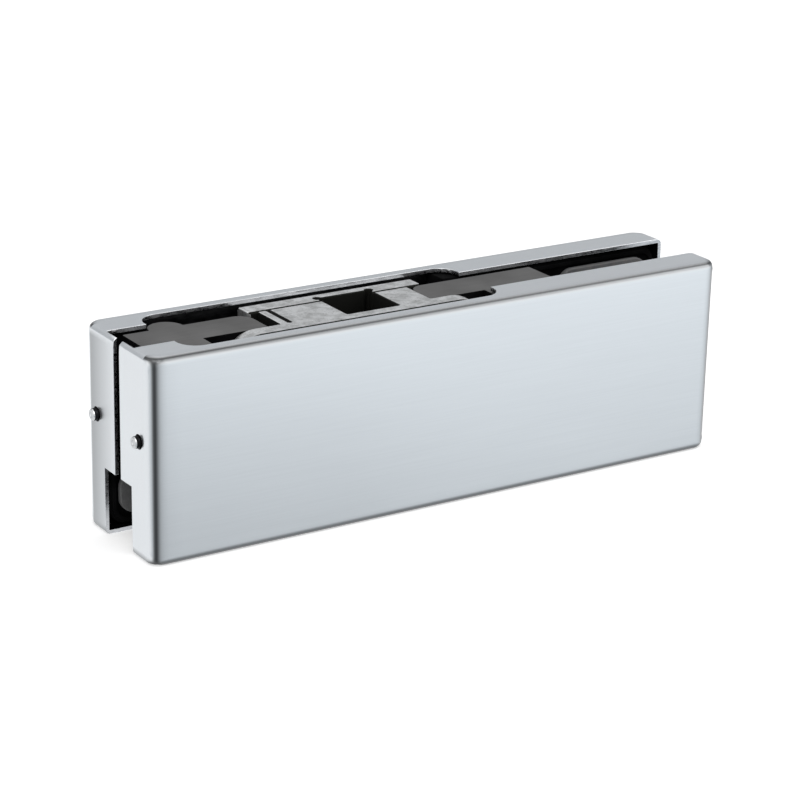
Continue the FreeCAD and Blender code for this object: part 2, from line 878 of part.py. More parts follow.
def make_cap_screw(label, diameter, length, head_diameter, head_height, hex_size, hex_depth):
    """Socket head screw along Z: the head's seat at zero, the head above it and the shank below."""
    body = new_body(label)
    shank = extrude(
        body,
        "Pad",
        f"{label}_shank",
        "XY_Plane",
        -length,
        as_size(0),
        lambda sketch: draw_circles(sketch, [(0, 0)], diameter),
    )
    dress(
        body,
        "Chamfer",
        f"{label}_tip",
        shank,
        lambda edge: near(spot_of(edge).z, -length) and edge.BoundBox.ZLength < 1e-4,
        size.screw_chamfer,
    )
    head = extrude(
        body,
        "Pad",
        f"{label}_head",
        "XY_Plane",
        as_size(0),
        head_height,
        lambda sketch: draw_circles(sketch, [(0, 0)], head_diameter),
    )
    dress(
        body,
        "Chamfer",
        f"{label}_head_edge",
        head,
        lambda edge: near(spot_of(edge).z, head_height) and edge.BoundBox.ZLength < 1e-4,
        size.screw_chamfer,
    )
    corner_radius = hex_size / (2 * math.cos(math.pi / HEX_SIDES))
    turns = [2 * math.pi * step / HEX_SIDES for step in range(HEX_SIDES)]
    corners = [(corner_radius * math.cos(turn), corner_radius * math.sin(turn)) for turn in turns]
    extrude(
        body,
        "Pocket",
        f"{label}_socket",
        "XY_Plane",
        head_height - hex_depth,
        head_height + size.screw_chamfer,
        lambda sketch: draw_outline(sketch, corners),
    )
    return body


def make_washer(label, diameter, hole, thickness):
    """Flat washer along Z, lying on its own zero plane."""
    body = new_body(label)

    def draw_ring(sketch):
        draw_circles(sketch, [(0, 0)], diameter)
        draw_circles(sketch, [(0, 0)], hole)

    extrude(body, "Pad", f"{label}_ring", "XY_Plane", as_size(0), thickness, draw_ring)
    return body


def make_lock_screw(label, side, end):
    """Headless screw in the end of a casting, backed out into the cover's hole to lock it."""
    body = new_body(label)
    rod = extrude(
        body,
        "Pad",
        f"{label}_rod",
        "XY_Plane",
        -size.lock_screw_length,
        as_size(0),
        lambda sketch: draw_circles(sketch, [(0, 0)], size.lock_screw_diameter),
    )
    dress(
        body,
        "Chamfer",
        f"{label}_ends",
        rod,
        lambda edge: is_ring(edge) and edge.BoundBox.ZLength < 1e-4,
        size.screw_chamfer,
    )
    x = left_end - size.lock_screw_stand if end == LEFT else right_end + size.lock_screw_stand
    turn = OUT_TO_LEFT if end == LEFT else OUT_TO_RIGHT
    place_body(body, x, under_face(side, lock_inset), size.lock_height, turn)
    return body


def make_clamp_fasteners():
    """The three screws that draw the halves together, each with its washer."""
    made = []
    for name, (x, z) in clamp_places.items():
        screw = make_cap_screw(
            f"clamp_screw_{name}",
            size.clamp_screw_diameter,
            clamp_length,
            size.clamp_head_diameter,
            size.clamp_head_height,
            size.clamp_hex,
            size.clamp_hex_depth,
        )
        place_body(screw, x, under_face(FRONT, clamp_seat - size.clamp_washer_thickness), z, HEAD_TO_FRONT)
        washer = make_washer(
            f"clamp_washer_{name}", size.clamp_washer_diameter, clamp_hole, size.clamp_washer_thickness
        )
        place_body(washer, x, under_face(FRONT, clamp_seat), z, HEAD_TO_FRONT)
        made += [screw, washer]
    return made


def make_insert_fasteners():
    """The two screws that pull the insert's rear plate on, each with its washer."""
    made = []
    for name, x in insert_screw_places.items():
        screw = make_cap_screw(
            f"insert_screw_{name}",
            size.insert_screw_diameter,
            size.insert_screw_length,
            size.insert_head_diameter,
            size.insert_head_height,
            size.insert_hex,
            size.insert_hex_depth,
        )
        seat = insert_seat + size.insert_washer_thickness
        place_body(screw, x, under_face(FRONT, seat), insert_middle, HEAD_TO_REAR)
        washer = make_washer(
            f"insert_washer_{name}", size.insert_washer_diameter, insert_hole, size.insert_washer_thickness
        )
        place_body(washer, x, under_face(FRONT, insert_seat), insert_middle, HEAD_TO_REAR)
        made += [screw, washer]
    return made


def make_lock_screws():
    """One lock screw in each end of each half."""
    return [
        make_lock_screw(f"{half}_lock_screw_{end_name}", side, end)
        for half, side in (("front", FRONT), ("rear", REAR))
        for end_name, end in (("left", LEFT), ("right", RIGHT))
    ]


def check_features():
    """Stop if a feature failed, or a cut or pad changed nothing."""
    for item in doc.Objects:
        if {"Invalid", "Error"} & set(item.State):
            raise RuntimeError(f"{item.Name} failed: {item.State}")
        base = getattr(item, "BaseFeature", None)
        if base is None or item.TypeId == "PartDesign::Body":
            continue
        change = item.Shape.Volume - base.Shape.Volume
        removes = item.TypeId == "PartDesign::Pocket"
        if (removes and change > -1e-3) or (item.TypeId == "PartDesign::Pad" and change < 1e-3):
            raise RuntimeError(f"{item.Name} changes nothing")


def write_pieces(bodies):
    """Check each piece's solid and write it to its own file."""
    os.makedirs("parts", exist_ok=True)
    for body in bodies:
        shape = body.Shape
        if shape.isNull() or not shape.isValid() or len(shape.Solids) != 1:
            raise RuntimeError(f"{body.Label} is not one valid solid")
    for body in bodies:
        body.Shape.exportStep(f"parts/{body.Label}.step")
        print(f"{body.Label}: {body.Shape.Volume:.0f} mm3")


pieces = [
    make_cover("front_cover", FRONT),
    make_cover("rear_cover", REAR),
    make_front_clamp(),
    make_rear_clamp(),
    make_gasket("front_gasket", FRONT),
    make_gasket("rear_gasket", REAR),
    make_insert_body(),
    make_insert_rear_plate(),
    *make_clamp_fasteners(),
    *make_insert_fasteners(),
    *make_lock_screws(),
]
doc.recompute()
check_features()
write_pieces(pieces)
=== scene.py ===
"""Glass patch fitting in a plain studio.

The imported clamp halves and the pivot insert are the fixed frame. Covers, castings, gaskets and the insert
are merged copies of their nodes with softened edges and procedural finishes. The fasteners are rebuilt
with turned bodies, hexagon sockets, knurled heads and real threads.
"""

import json
import logging
import math
from collections.abc import Callable, Iterable, Iterator, Sequence
from contextlib import contextmanager
from dataclasses import dataclass
from enum import Enum

import bmesh
import bpy
import numpy as np
from mathutils import Matrix, Vector

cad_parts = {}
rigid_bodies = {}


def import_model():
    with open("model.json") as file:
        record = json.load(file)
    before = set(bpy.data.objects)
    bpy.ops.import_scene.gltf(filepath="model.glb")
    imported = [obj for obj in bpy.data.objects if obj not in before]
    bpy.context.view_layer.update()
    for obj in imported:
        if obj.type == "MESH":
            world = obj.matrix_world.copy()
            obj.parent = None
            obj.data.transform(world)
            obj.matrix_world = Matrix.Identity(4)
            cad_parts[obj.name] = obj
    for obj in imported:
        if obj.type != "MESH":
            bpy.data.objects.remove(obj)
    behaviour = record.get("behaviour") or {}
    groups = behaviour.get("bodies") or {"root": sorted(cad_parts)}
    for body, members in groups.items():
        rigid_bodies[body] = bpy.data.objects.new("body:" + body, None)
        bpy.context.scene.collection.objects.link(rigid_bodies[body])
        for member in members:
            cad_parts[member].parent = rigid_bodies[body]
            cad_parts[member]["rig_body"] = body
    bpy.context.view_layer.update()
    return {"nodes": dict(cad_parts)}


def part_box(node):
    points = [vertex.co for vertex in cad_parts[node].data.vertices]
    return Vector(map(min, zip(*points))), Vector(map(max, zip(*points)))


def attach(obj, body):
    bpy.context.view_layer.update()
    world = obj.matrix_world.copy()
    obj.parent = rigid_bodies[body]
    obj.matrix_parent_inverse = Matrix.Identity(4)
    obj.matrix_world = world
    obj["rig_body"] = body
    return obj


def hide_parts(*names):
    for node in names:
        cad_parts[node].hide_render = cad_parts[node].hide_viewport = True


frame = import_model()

log = logging.getLogger("glass_patch_fitting")
MM = 0.001
Socket = bpy.types.NodeSocket
Inputs = dict[str | int, object]
Colour = tuple[float, float, float]
Span = tuple[float, float]
Stops = tuple[tuple[float, float], ...]
Curve = tuple[tuple[float, ...], tuple[float, ...]]
Radius = float | Callable[[float], float]


class Half(Enum):
    """The two halves of the clamp: their side of the glass and the body that they ride on."""

    FRONT = (-1, "front_half")
    REAR = (1, "rear_half")

    @property
    def side(self) -> int:
        """Sign of the half's outer face along Y."""
        return self.value[0]

    @property
    def body(self) -> str:
        """Name of the half's body."""
        return self.value[1]

    @property
    def word(self) -> str:
        """The half's word in the names of its nodes."""
        return self.name.lower()


class End(Enum):
    """The two ends of the fitting along X."""

    LEFT = -1
    RIGHT = 1

    @property
    def word(self) -> str:
        """The end's word in the names of its nodes."""
        return self.name.lower()


class Slot(Enum):
    """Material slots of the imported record."""

    COVER = "cover_steel"
    CASTING = "cast_aluminium"
    GASKET = "gasket_rubber"
    INSERT = "insert_steel"
    SCREW = "screw_steel"


# Shader building


class NodeMaker:
    """Puts nodes and their links into one node tree."""

    def __init__(self, tree: bpy.types.NodeTree) -> None:
        """Keep the tree that the nodes go into."""
        self.tree = tree

    def add(self, kind: str, inputs: Inputs | None = None, **settings: object) -> bpy.types.Node:
        """Add a node.

        Args:
            kind: type name of the node.
            inputs: a value or an output socket for each input, by name or number.
            settings: properties of the node.

        Returns:
            The node.
        """
        node = self.tree.nodes.new(kind)
        for key, value in settings.items():
            setattr(node, key, value)
        for key, value in (inputs or {}).items():
            if isinstance(value, Socket):
                self.tree.links.new(value, node.inputs[key])
            else:
                node.inputs[key].default_value = value
        return node

    def math(self, operation: str, first: object, second: object) -> Socket:
        """Give the result of one operation on two values or sockets."""
        return self.add("ShaderNodeMath", {0: first, 1: second}, operation=operation).outputs["Value"]

    def ramp(self, factor: Socket, low: float, high: float, start: float, stop: float) -> Socket:
        """Map a factor from the span low to high onto the span start to stop, clamped."""
        inputs = {"Value": factor, "From Min": low, "From Max": high, "To Min": start, "To Max": stop}
        return self.add("ShaderNodeMapRange", inputs).outputs["Result"]


class Finish(NodeMaker):
    """A procedural material, put together node by node on one Principled shader."""

    def __init__(self, name: str, roughness: float, metallic: float = 0.0, specular: float = 0.5) -> None:
        """Start a material.

        Args:
            name: name of the material.
            roughness: roughness of the shader where no node sets it.
            metallic: 1 for bare metal, 0 for paint and rubber.
            specular: strength of a non-metal's reflection, 0.5 for most.
        """
        self.material = bpy.data.materials.new(name)
        self.material.use_nodes = True
        super().__init__(self.material.node_tree)
        self.shader = self.tree.nodes["Principled BSDF"]
        self.shader.inputs["Roughness"].default_value = roughness
        self.shader.inputs["Metallic"].default_value = metallic
        self.shader.inputs["Specular IOR Level"].default_value = specular

    def place(self, stretch: Sequence[float] = (1.0, 1.0, 1.0)) -> Socket:
        """Give object coordinates; a small stretch factor draws a pattern out along its axis."""
        spot = self.add("ShaderNodeTexCoord").outputs["Object"]
        return self.add("ShaderNodeMapping", {"Vector": spot, "Scale": stretch}).outputs["Vector"]

    def noise(self, where: Socket, scale: float, detail: float = 4.0, rough: float = 0.5) -> Socket:
        """Give noise of 0 to 1, with scale spots to the metre and finer layers of strength rough."""
        inputs = {"Vector": where, "Scale": scale, "Detail": detail, "Roughness": rough}
        return self.add("ShaderNodeTexNoise", inputs).outputs["Fac"]

    def blend(self, factor: Socket, first: object, second: object) -> Socket:
        """Mix two colours.

        Args:
            factor: 0 gives the first, 1 the second.
            first: colour as three numbers, or a socket.
            second: colour as three numbers, or a socket.

        Returns:
            The socket with the colour.
        """
        node = self.add("ShaderNodeMix", {"Factor": factor}, data_type="RGBA")
        for name, colour in (("A", first), ("B", second)):
            socket = next(s for s in node.inputs if s.name == name and s.type == "RGBA")
            if isinstance(colour, Socket):
                self.tree.links.new(colour, socket)
            else:
                socket.default_value = (*colour, 1.0)
        return next(s for s in node.outputs if s.type == "RGBA")

    def scaled(self, colour: Colour, factor: Socket) -> Socket:
        """Give a colour made brighter or darker by a factor."""
        node = self.add("ShaderNodeVectorMath", {0: colour, "Scale": factor}, operation="SCALE")
        return node.outputs["Vector"]

    def tones(self, factor: Socket, stops: Sequence[tuple[float, float]]) -> Socket:
        """Give a tone that changes along a factor.

        Args:
            factor: the place between 0 and 1.
            stops: place and tone of each stop, in order.

        Returns:
            The socket with the tone.
        """
        node = self.add("ShaderNodeValToRGB", {"Fac": factor})
        ramp = node.color_ramp
        ramp.interpolation = "LINEAR"
        ramp.elements[0].position, ramp.elements[1].position = stops[0][0], stops[-1][0]
        for place, _ in stops[1:-1]:
            ramp.elements.new(place)
        for element, (_, tone) in zip(ramp.elements, stops):
            element.color = (tone, tone, tone, 1.0)
        return node.outputs["Color"]

    def attribute(self, name: str) -> Socket:
        """Give a named attribute of the mesh as a factor."""
        return self.add("ShaderNodeAttribute", attribute_name=name).outputs["Fac"]

    def bump(self, height: Socket, depth: float, before: Socket | None = None) -> Socket:
        """Give a normal roughened by a height.

        Args:
            height: height between 0 and 1.
            depth: how deep a height of 1 is, in metres.
            before: a normal that this one is laid over.

        Returns:
            The socket with the normal.
        """
        inputs: Inputs = {"Height": height, "Distance": depth, "Strength": 1.0}
        if before is not None:
            inputs["Normal"] = before
        return self.add("ShaderNodeBump", inputs).outputs["Normal"]

    def drive(self, **sockets: Socket) -> bpy.types.Material:
        """Link sockets to the shader's inputs.

        Args:
            sockets: an output for each input, whose name is written with underscores.

        Returns:
            The finished material.
        """
        for name, socket in sockets.items():
            self.tree.links.new(socket, self.shader.inputs[name.replace("_", " ")])
        return self.material


@dataclass(frozen=True)
class BrushedSteel:
    """Satin steel brushed along X, with painted shade in its bends that stands in for the dark surroundings
    they reflect.
    """

    name: str = "satin_steel"
    flat: Colour = (0.857, 0.880, 0.903)
    # Painted shade across the bends: tones that stand in for the dark surroundings mirrored in them.
    deep_bend: Stops = (
        (-1.0, 1.0), (-0.73, 1.0), (-0.53, 0.99), (-0.23, 0.965), (-0.08, 0.945), (0.04, 0.89),
        (0.11, 0.85), (0.19, 0.76), (0.22, 0.70), (0.26, 0.59), (0.295, 0.455), (0.33, 0.295),
        (0.365, 0.175), (0.40, 0.09), (0.44, 0.10), (0.476, 0.15), (0.513, 0.366), (0.551, 0.72),
        (0.591, 0.95), (0.64, 1.0), (1.03, 1.0),
    )
    thin_bend: Stops = (
        (-0.4, 1.0), (-0.05, 1.0), (0.12, 0.94), (0.216, 0.82), (0.311, 0.54), (0.407, 0.30), (0.507, 0.12),
        (0.56, 0.09), (0.615, 0.13), (0.738, 0.40), (0.894, 0.78), (1.05, 0.95), (1.25, 1.0),
    )
    turn_span: Span = (-1.0, 2.0)
    meeting: Span = (0.5, 0.72)
    roughness: float = 0.30
    line_pitch: float = 0.30 * MM
    line_length: float = 24.0 * MM
    line_depth: float = 0.0009 * MM

    def bend(self, finish: Finish, turn: str, other: str, stops: Stops) -> Socket:
        """Give the painted shade of one kind of bend.

        Args:
            finish: the material under construction.
            turn: attribute with the turn in this kind of bend.
            other: attribute with the turn in the other kind, past which this tone fades.
            stops: turn and tone of each stop.

        Returns:
            The socket with the tone, 1 away from the bend.
        """
        low, high = self.turn_span
        place = finish.ramp(finish.attribute(turn), low, high, 0.0, 1.0)
        tone = finish.tones(place, [((at - low) / (high - low), value) for at, value in stops])
        keep = finish.ramp(finish.attribute(other), *self.meeting, 1.0, 0.0)
        change = finish.math("MULTIPLY", keep, finish.math("SUBTRACT", tone, 1.0))
        return finish.math("ADD", change, 1.0)

    def material(self) -> bpy.types.Material:
        """Build the material, which reads the attributes deep_turn and thin_turn and the walls' painted
        shade attribute, and paints shade into the bends.

        Returns:
            The material.
        """
        finish = Finish(self.name, self.roughness, metallic=1.0)
        lines = finish.place((self.line_pitch / self.line_length, 1.0, 1.0))
        fine = finish.noise(lines, 1 / self.line_pitch, 3.0, 0.6)
        broad = finish.noise(finish.place((0.25, 1.0, 1.0)), 45.0, 2.0, 0.5)
        shade = finish.attribute("wall_shade")
        deep = self.bend(finish, "deep_turn", "thin_turn", self.deep_bend)
        thin = self.bend(finish, "thin_turn", "deep_turn", self.thin_bend)
        # Painted shade of the bends and walls, times the brushing streaks and clouds.
        for tone in (
            finish.math("MINIMUM", deep, thin),
            finish.ramp(fine, 0.3, 0.7, 0.98, 1.012),
            finish.ramp(broad, 0.3, 0.7, 0.985, 1.01),
        ):
            shade = finish.math("MULTIPLY", shade, tone)
        worn = finish.ramp(fine, 0.3, 0.7, self.roughness - 0.025, self.roughness + 0.03)
        normal = finish.bump(fine, self.line_depth)
        return finish.drive(Base_Color=finish.scaled(self.flat, shade), Roughness=worn, Normal=normal)


@dataclass(frozen=True)
class SheetBack:
    """The unbrushed back of the sheet, or its sheared edge."""

    name: str = "steel_sheet_back"
    # The default colours are near black: painted shade on the cover's inside; the sheared edge sets its own.
    light: Colour = (0.034, 0.034, 0.036)
    dark: Colour = (0.014, 0.014, 0.015)
    roughness: float = 0.46
    grain: float = 900.0
    depth: float = 0.004 * MM

    def material(self) -> bpy.types.Material:
        """Build the material.

        Returns:
            The material.
        """
        finish = Finish(self.name, self.roughness, metallic=1.0)
        where = finish.place((0.3, 1.0, 1.0))
        spots = finish.noise(where, self.grain, 4.0, 0.6)
        colour = finish.blend(finish.ramp(spots, 0.35, 0.65, 0.0, 1.0), self.dark, self.light)
        rough = finish.ramp(spots, 0.3, 0.7, self.roughness - 0.06, self.roughness + 0.08)
        return finish.drive(Base_Color=colour, Roughness=rough, Normal=finish.bump(spots, self.depth))


@dataclass(frozen=True)
class CastPaint:
    """Black painted casting with its sand texture, bare grey with machining marks and a painted highlight
    where the spacer top's attribute is 1.
    """

    name: str = "black_casting"
    # Near black and nearly without reflection: black paint, darkened further as painted shade in the
    # fitting's recesses.
    paint: Colour = (0.003, 0.003, 0.0032)
    worn: Colour = (0.009, 0.009, 0.0095)
    # The spacer top's grey: bare metal, lightened as painted light from above.
    machined: Colour = (0.15, 0.15, 0.15)
    roughness: float = 0.52
    machined_roughness: float = 0.42
    grain: float = 1400.0
    depth: float = 0.02 * MM

    def material(self) -> bpy.types.Material:
        """Build the material, which reads the attribute for the bare spacer top, lightened as painted light.

        Returns:
            The material.
        """
        finish = Finish(self.name, self.roughness, specular=0.005)
        where = finish.place()
        sand = finish.noise(where, self.grain, 5.0, 0.6)
        cloud = finish.noise(where, 130.0, 3.0, 0.5)
        lit_bare_top = finish.attribute("machined")
        paint = finish.blend(finish.ramp(cloud, 0.4, 0.75, 0.0, 1.0), self.paint, self.worn)
        lines = finish.noise(finish.place((0.06, 1.0, 1.0)), 2600.0, 2.0, 0.5)
        smear = finish.noise(where, 75.0, 2.0, 0.5)
        cut = finish.ramp(lines, 0.25, 0.75, 0.95, 1.05)
        bright = finish.math("MULTIPLY", cut, finish.ramp(smear, 0.3, 0.7, 0.82, 1.1))
        colour = finish.blend(lit_bare_top, paint, finish.scaled(self.machined, bright))
        rough = finish.ramp(lit_bare_top, 0.0, 1.0, self.roughness, self.machined_roughness)
        rough = finish.math("ADD", rough, finish.ramp(sand, 0.3, 0.7, -0.05, 0.06))
        height = finish.math("MULTIPLY", sand, finish.ramp(lit_bare_top, 0.0, 1.0, 1.0, 0.15))
        return finish.drive(Base_Color=colour, Roughness=rough, Normal=finish.bump(height, self.depth))


@dataclass(frozen=True)
class CastInsert:
    """Bare cast steel, mottled and finely pitted, with a painted highlight on some edges and tarnish
    darkened to painted shade in its hollows.
    """

    name: str = "cast_insert"
    light: Colour = (0.80, 0.805, 0.81)
    dark: Colour = (0.47, 0.475, 0.475)
    pit: Colour = (0.20, 0.20, 0.195)
    # Painted highlight on the rounded edge facets.
    rubbed: Colour = (0.86, 0.87, 0.87)
    # Tarnish, darkened further to painted shade.
    tarnish: Colour = (0.017, 0.017, 0.015)
    roughness: float = 0.40
    patch: float = 330.0
    grain: float = 2100.0
    depth: float = 0.05 * MM

    def material(self) -> bpy.types.Material:
        """Build the material, which reads the attributes for the painted highlight and for the tarnish with
        painted shade.

        Returns:
            The material.
        """
        finish = Finish(self.name, self.roughness, metallic=0.9)
        where = finish.place()
        patches = finish.noise(where, self.patch, 6.0, 0.68)
        pits = finish.noise(where, self.grain, 4.0, 0.65)
        colour = finish.blend(finish.ramp(patches, 0.38, 0.60, 0.0, 1.0), self.dark, self.light)
        colour = finish.blend(finish.ramp(pits, 0.30, 0.42, 0.8, 0.0), colour, self.pit)
        colour = finish.blend(finish.attribute("rubbed"), colour, self.rubbed)
        # Tarnish darkened to painted shade in the hollows and gaps.
        colour = finish.blend(finish.attribute("tarnish"), colour, self.tarnish)
        rough = finish.ramp(patches, 0.3, 0.7, self.roughness + 0.12, self.roughness - 0.06)
        rough = finish.math("MAXIMUM", rough, finish.math("MULTIPLY", finish.attribute("tarnish"), 0.7))
        normal = finish.bump(pits, self.depth * 0.4)
        normal = finish.bump(patches, self.depth, normal)
        return finish.drive(Base_Color=colour, Roughness=rough, Normal=normal)


@dataclass(frozen=True)
class Rubber:
    """Dense grey gasket board with a fine pressed grain."""

    name: str = "gasket_board"
    light: Colour = (0.199, 0.199, 0.199)
    dark: Colour = (0.104, 0.104, 0.106)
    roughness: float = 0.78
    grain: float = 1900.0
    depth: float = 0.03 * MM

    def material(self) -> bpy.types.Material:
        """Build the material.

        Returns:
            The material.
        """
        finish = Finish(self.name, self.roughness, specular=0.3)
        where = finish.place()
        fibre = finish.noise(where, self.grain, 6.0, 0.7)
        cloud = finish.noise(where, 90.0, 3.0, 0.5)
        light = finish.ramp(cloud, 0.3, 0.7, 0.55, 1.0)
        mix = finish.math("MULTIPLY", finish.ramp(fibre, 0.3, 0.7, 0.2, 1.0), light)
        colour = finish.blend(mix, self.dark, self.light)
        rough = finish.ramp(fibre, 0.3, 0.7, self.roughness - 0.1, self.roughness + 0.1)
        return finish.drive(Base_Color=colour, Roughness=rough, Normal=finish.bump(fibre, self.depth))


@dataclass(frozen=True)
class ScrewSteel:
    """Turned screw steel with fine tool marks and an oiled tone."""

    name: str
    light: Colour = (0.60, 0.60, 0.60)
    dark: Colour = (0.33, 0.33, 0.34)
    roughness: float = 0.30
    grain: float = 700.0
    depth: float = 0.004 * MM

    def material(self) -> bpy.types.Material:
        """Build the material.

        Returns:
            The material.
        """
        finish = Finish(self.name, self.roughness, metallic=1.0)
        where = finish.place()
        marks = finish.noise(where, self.grain, 4.0, 0.6)
        oil = finish.noise(where, self.grain / 5, 3.0, 0.5)
        colour = finish.blend(finish.ramp(oil, 0.35, 0.65, 0.0, 1.0), self.dark, self.light)
        rough = finish.ramp(marks, 0.3, 0.7, self.roughness - 0.08, self.roughness + 0.12)
        return finish.drive(Base_Color=colour, Roughness=rough, Normal=finish.bump(marks, self.depth))


# Mesh building


def new_object(name: str) -> bpy.types.Object:
    """Put an object with an empty mesh in the scene, at the origin.

    Args:
        name: name of the object and its mesh.

    Returns:
        The object.
    """
    piece = bpy.data.objects.new(name, bpy.data.meshes.new(name))
    bpy.context.scene.collection.objects.link(piece)
    return piece


@contextmanager
def editing(piece: bpy.types.Object) -> Iterator[bmesh.types.BMesh]:
    """Open an object's mesh for changes and write them back.

    Args:
        piece: the object.

    Yields:
        The open mesh.
    """
    shape = bmesh.new()
    shape.from_mesh(piece.data)
    yield shape
    shape.to_mesh(piece.data)
    shape.free()


def merged_copy(node: str, name: str, weld: float = 0.002 * MM, flat: float = 0.6) -> bpy.types.Object:
    """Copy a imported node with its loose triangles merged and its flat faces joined.

    Args:
        node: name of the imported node.
        name: name of the new piece.
        weld: points nearer than this, in metres, become one.
        flat: faces that meet at less than this many degrees become one.

    Returns:
        The new object, at the origin.
    """
    piece = new_object(name)
    with editing(piece) as shape:
        shape.from_mesh(frame["nodes"][node].data)
        bmesh.ops.remove_doubles(shape, verts=shape.verts, dist=weld)
        bmesh.ops.dissolve_limit(
            shape,
            angle_limit=math.radians(flat),
            verts=shape.verts,
            edges=shape.edges,
            use_dissolve_boundaries=False,
        )
        for layer in list(shape.loops.layers.uv):
            shape.loops.layers.uv.remove(layer)
    return piece


def cut_flats(piece: bpy.types.Object, planes: Iterable[tuple[Vector, Vector]]) -> None:
    """Cut a mesh along planes, without opening it, so that an attribute can change across its flats.

    Args:
        piece: the object to cut.
        planes: a point and a normal for each plane.
    """
    with editing(piece) as shape:
        for point, normal in planes:
            everything = [*shape.verts, *shape.edges, *shape.faces]
            bmesh.ops.bisect_plane(shape, geom=everything, plane_co=point, plane_no=normal, dist=0.001 * MM)


def bake_modifiers(piece: bpy.types.Object) -> None:
    """Turn an object's modifiers into plain mesh.

    Args:
        piece: the object.
    """
    graph = bpy.context.evaluated_depsgraph_get()
    ready = piece.evaluated_get(graph)
    mesh = bpy.data.meshes.new_from_object(ready, preserve_all_data_layers=True, depsgraph=graph)
    mesh.name = piece.name
    piece.modifiers.clear()
    old = piece.data
    piece.data = mesh
    bpy.data.meshes.remove(old)


def soften(
    piece: bpy.types.Object,
    width: float,
    segments: int = 2,
    angle: float = 32.0,
    sharp: float = 50.0,
    tiny: float = 0.02 * MM,
) -> None:
    """Round an object's sharp edges a little, inside its box, and keep its flats flat in shading.

    Args:
        piece: the object.
        width: width of the rounding in metres.
        segments: facets across the rounding.
        angle: edges sharper than this many degrees are rounded.
        sharp: edges still sharper than this many degrees after that stay sharp in shading.
        tiny: faces and edges smaller than this, in metres, are merged away.
    """
    bevel = piece.modifiers.new("soft_edges", "BEVEL")
    bevel.limit_method = "ANGLE"
    bevel.angle_limit = math.radians(angle)
    bevel.width = width
    bevel.segments = segments
    bevel.use_clamp_overlap = False
    bevel.miter_outer = "MITER_ARC"
    for face in piece.data.polygons:
        face.use_smooth = True
    low, high = (Vector(corner) for corner in (piece.bound_box[0], piece.bound_box[6]))
    bake_modifiers(piece)
    with editing(piece) as shape:
        for vertex in shape.verts:
            vertex.co = Vector([min(max(c, a), b) for c, a, b in zip(vertex.co, low, high)])
        shape.normal_update()
        bmesh.ops.remove_doubles(shape, verts=shape.verts, dist=tiny)
        bmesh.ops.dissolve_degenerate(shape, edges=shape.edges, dist=tiny)
        for edge in shape.edges:
            edge.smooth = len(edge.link_faces) == 2 and edge.calc_face_angle(0.0) < math.radians(sharp)
    if "custom_normal" in piece.data.attributes:
        piece.data.attributes.remove(piece.data.attributes["custom_normal"])
    weighted = piece.modifiers.new("flat_shading", "WEIGHTED_NORMAL")
    weighted.weight = 80
    weighted.keep_sharp = True
    bake_modifiers(piece)


def corner_sink(apart: np.ndarray, radius: float) -> np.ndarray:
    """Give how deep a rounded corner's outline lies under the two faces that meet in it.

    Args:
        apart: difference between the depths under the two faces.
        radius: radius of the corner.

    Returns:
        The mean of the two depths on the outline.
    """
    inside = np.minimum(np.abs(apart), radius)
    curve = radius - np.sqrt((radius**2 - inside**2 / 2) / 2)
    return np.where(np.abs(apart) < radius, curve, np.abs(apart) / 2)


def rounded_depth(first: np.ndarray, second: np.ndarray, radius: float) -> np.ndarray:
    """Give the depth under two faces that meet in an edge rounded to a radius."""
    curve = radius - np.hypot(np.maximum(radius - first, 0.0), np.maximum(radius - second, 0.0))
    return np.where((first < radius) & (second < radius), curve, np.minimum(first, second))


def within(values: np.ndarray, span: Span) -> np.ndarray:
    """Tell which values lie inside a span."""
    return (values > span[0]) & (values < span[1])


def point_places(mesh: bpy.types.Mesh) -> np.ndarray:
    """Give the places of a mesh's points in millimetres.

    Args:
        mesh: the mesh.

    Returns:
        One row for each point.
    """
    places = np.zeros(len(mesh.vertices) * 3)
    mesh.vertices.foreach_get("co", places)
    return places.reshape(-1, 3) / MM


def face_places(mesh: bpy.types.Mesh) -> tuple[np.ndarray, np.ndarray]:
    """Give the centres, in millimetres, and the normals of a mesh's faces.

    Args:
        mesh: the mesh.

    Returns:
        Two arrays with one row for each face.
    """
    centres = np.array([face.center for face in mesh.polygons]) / MM
    normals = np.array([face.normal for face in mesh.polygons])
    return centres, normals


def paint(piece: bpy.types.Object, domain: str, name: str, factors: np.ndarray) -> None:
    """Store a factor on each POINT or each FACE of a mesh."""
    layer = piece.data.attributes.new(name, "FLOAT", domain)
    layer.data.foreach_set("value", factors.astype(np.float32))


def place_material(piece: bpy.types.Object, *materials: bpy.types.Material) -> None:
    """Give an object its materials, in the order of its faces' numbers.

    Args:
        piece: the object.
        materials: the materials.
    """
    piece.data.materials.clear()
    for material in materials:
        piece.data.materials.append(material)


def join_body(piece: bpy.types.Object, body: str, node: str) -> None:
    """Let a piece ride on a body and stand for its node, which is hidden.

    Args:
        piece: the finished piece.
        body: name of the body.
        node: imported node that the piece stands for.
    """
    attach(piece, body)
    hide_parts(node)
    log.info("%s on %s: %d faces", piece.name, body, len(piece.data.polygons))


def box_corners(node: str) -> tuple[np.ndarray, np.ndarray]:
    """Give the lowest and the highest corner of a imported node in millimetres."""
    low, high = (np.array(corner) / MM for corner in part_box(node))
    return low, high


# Sub-assemblies


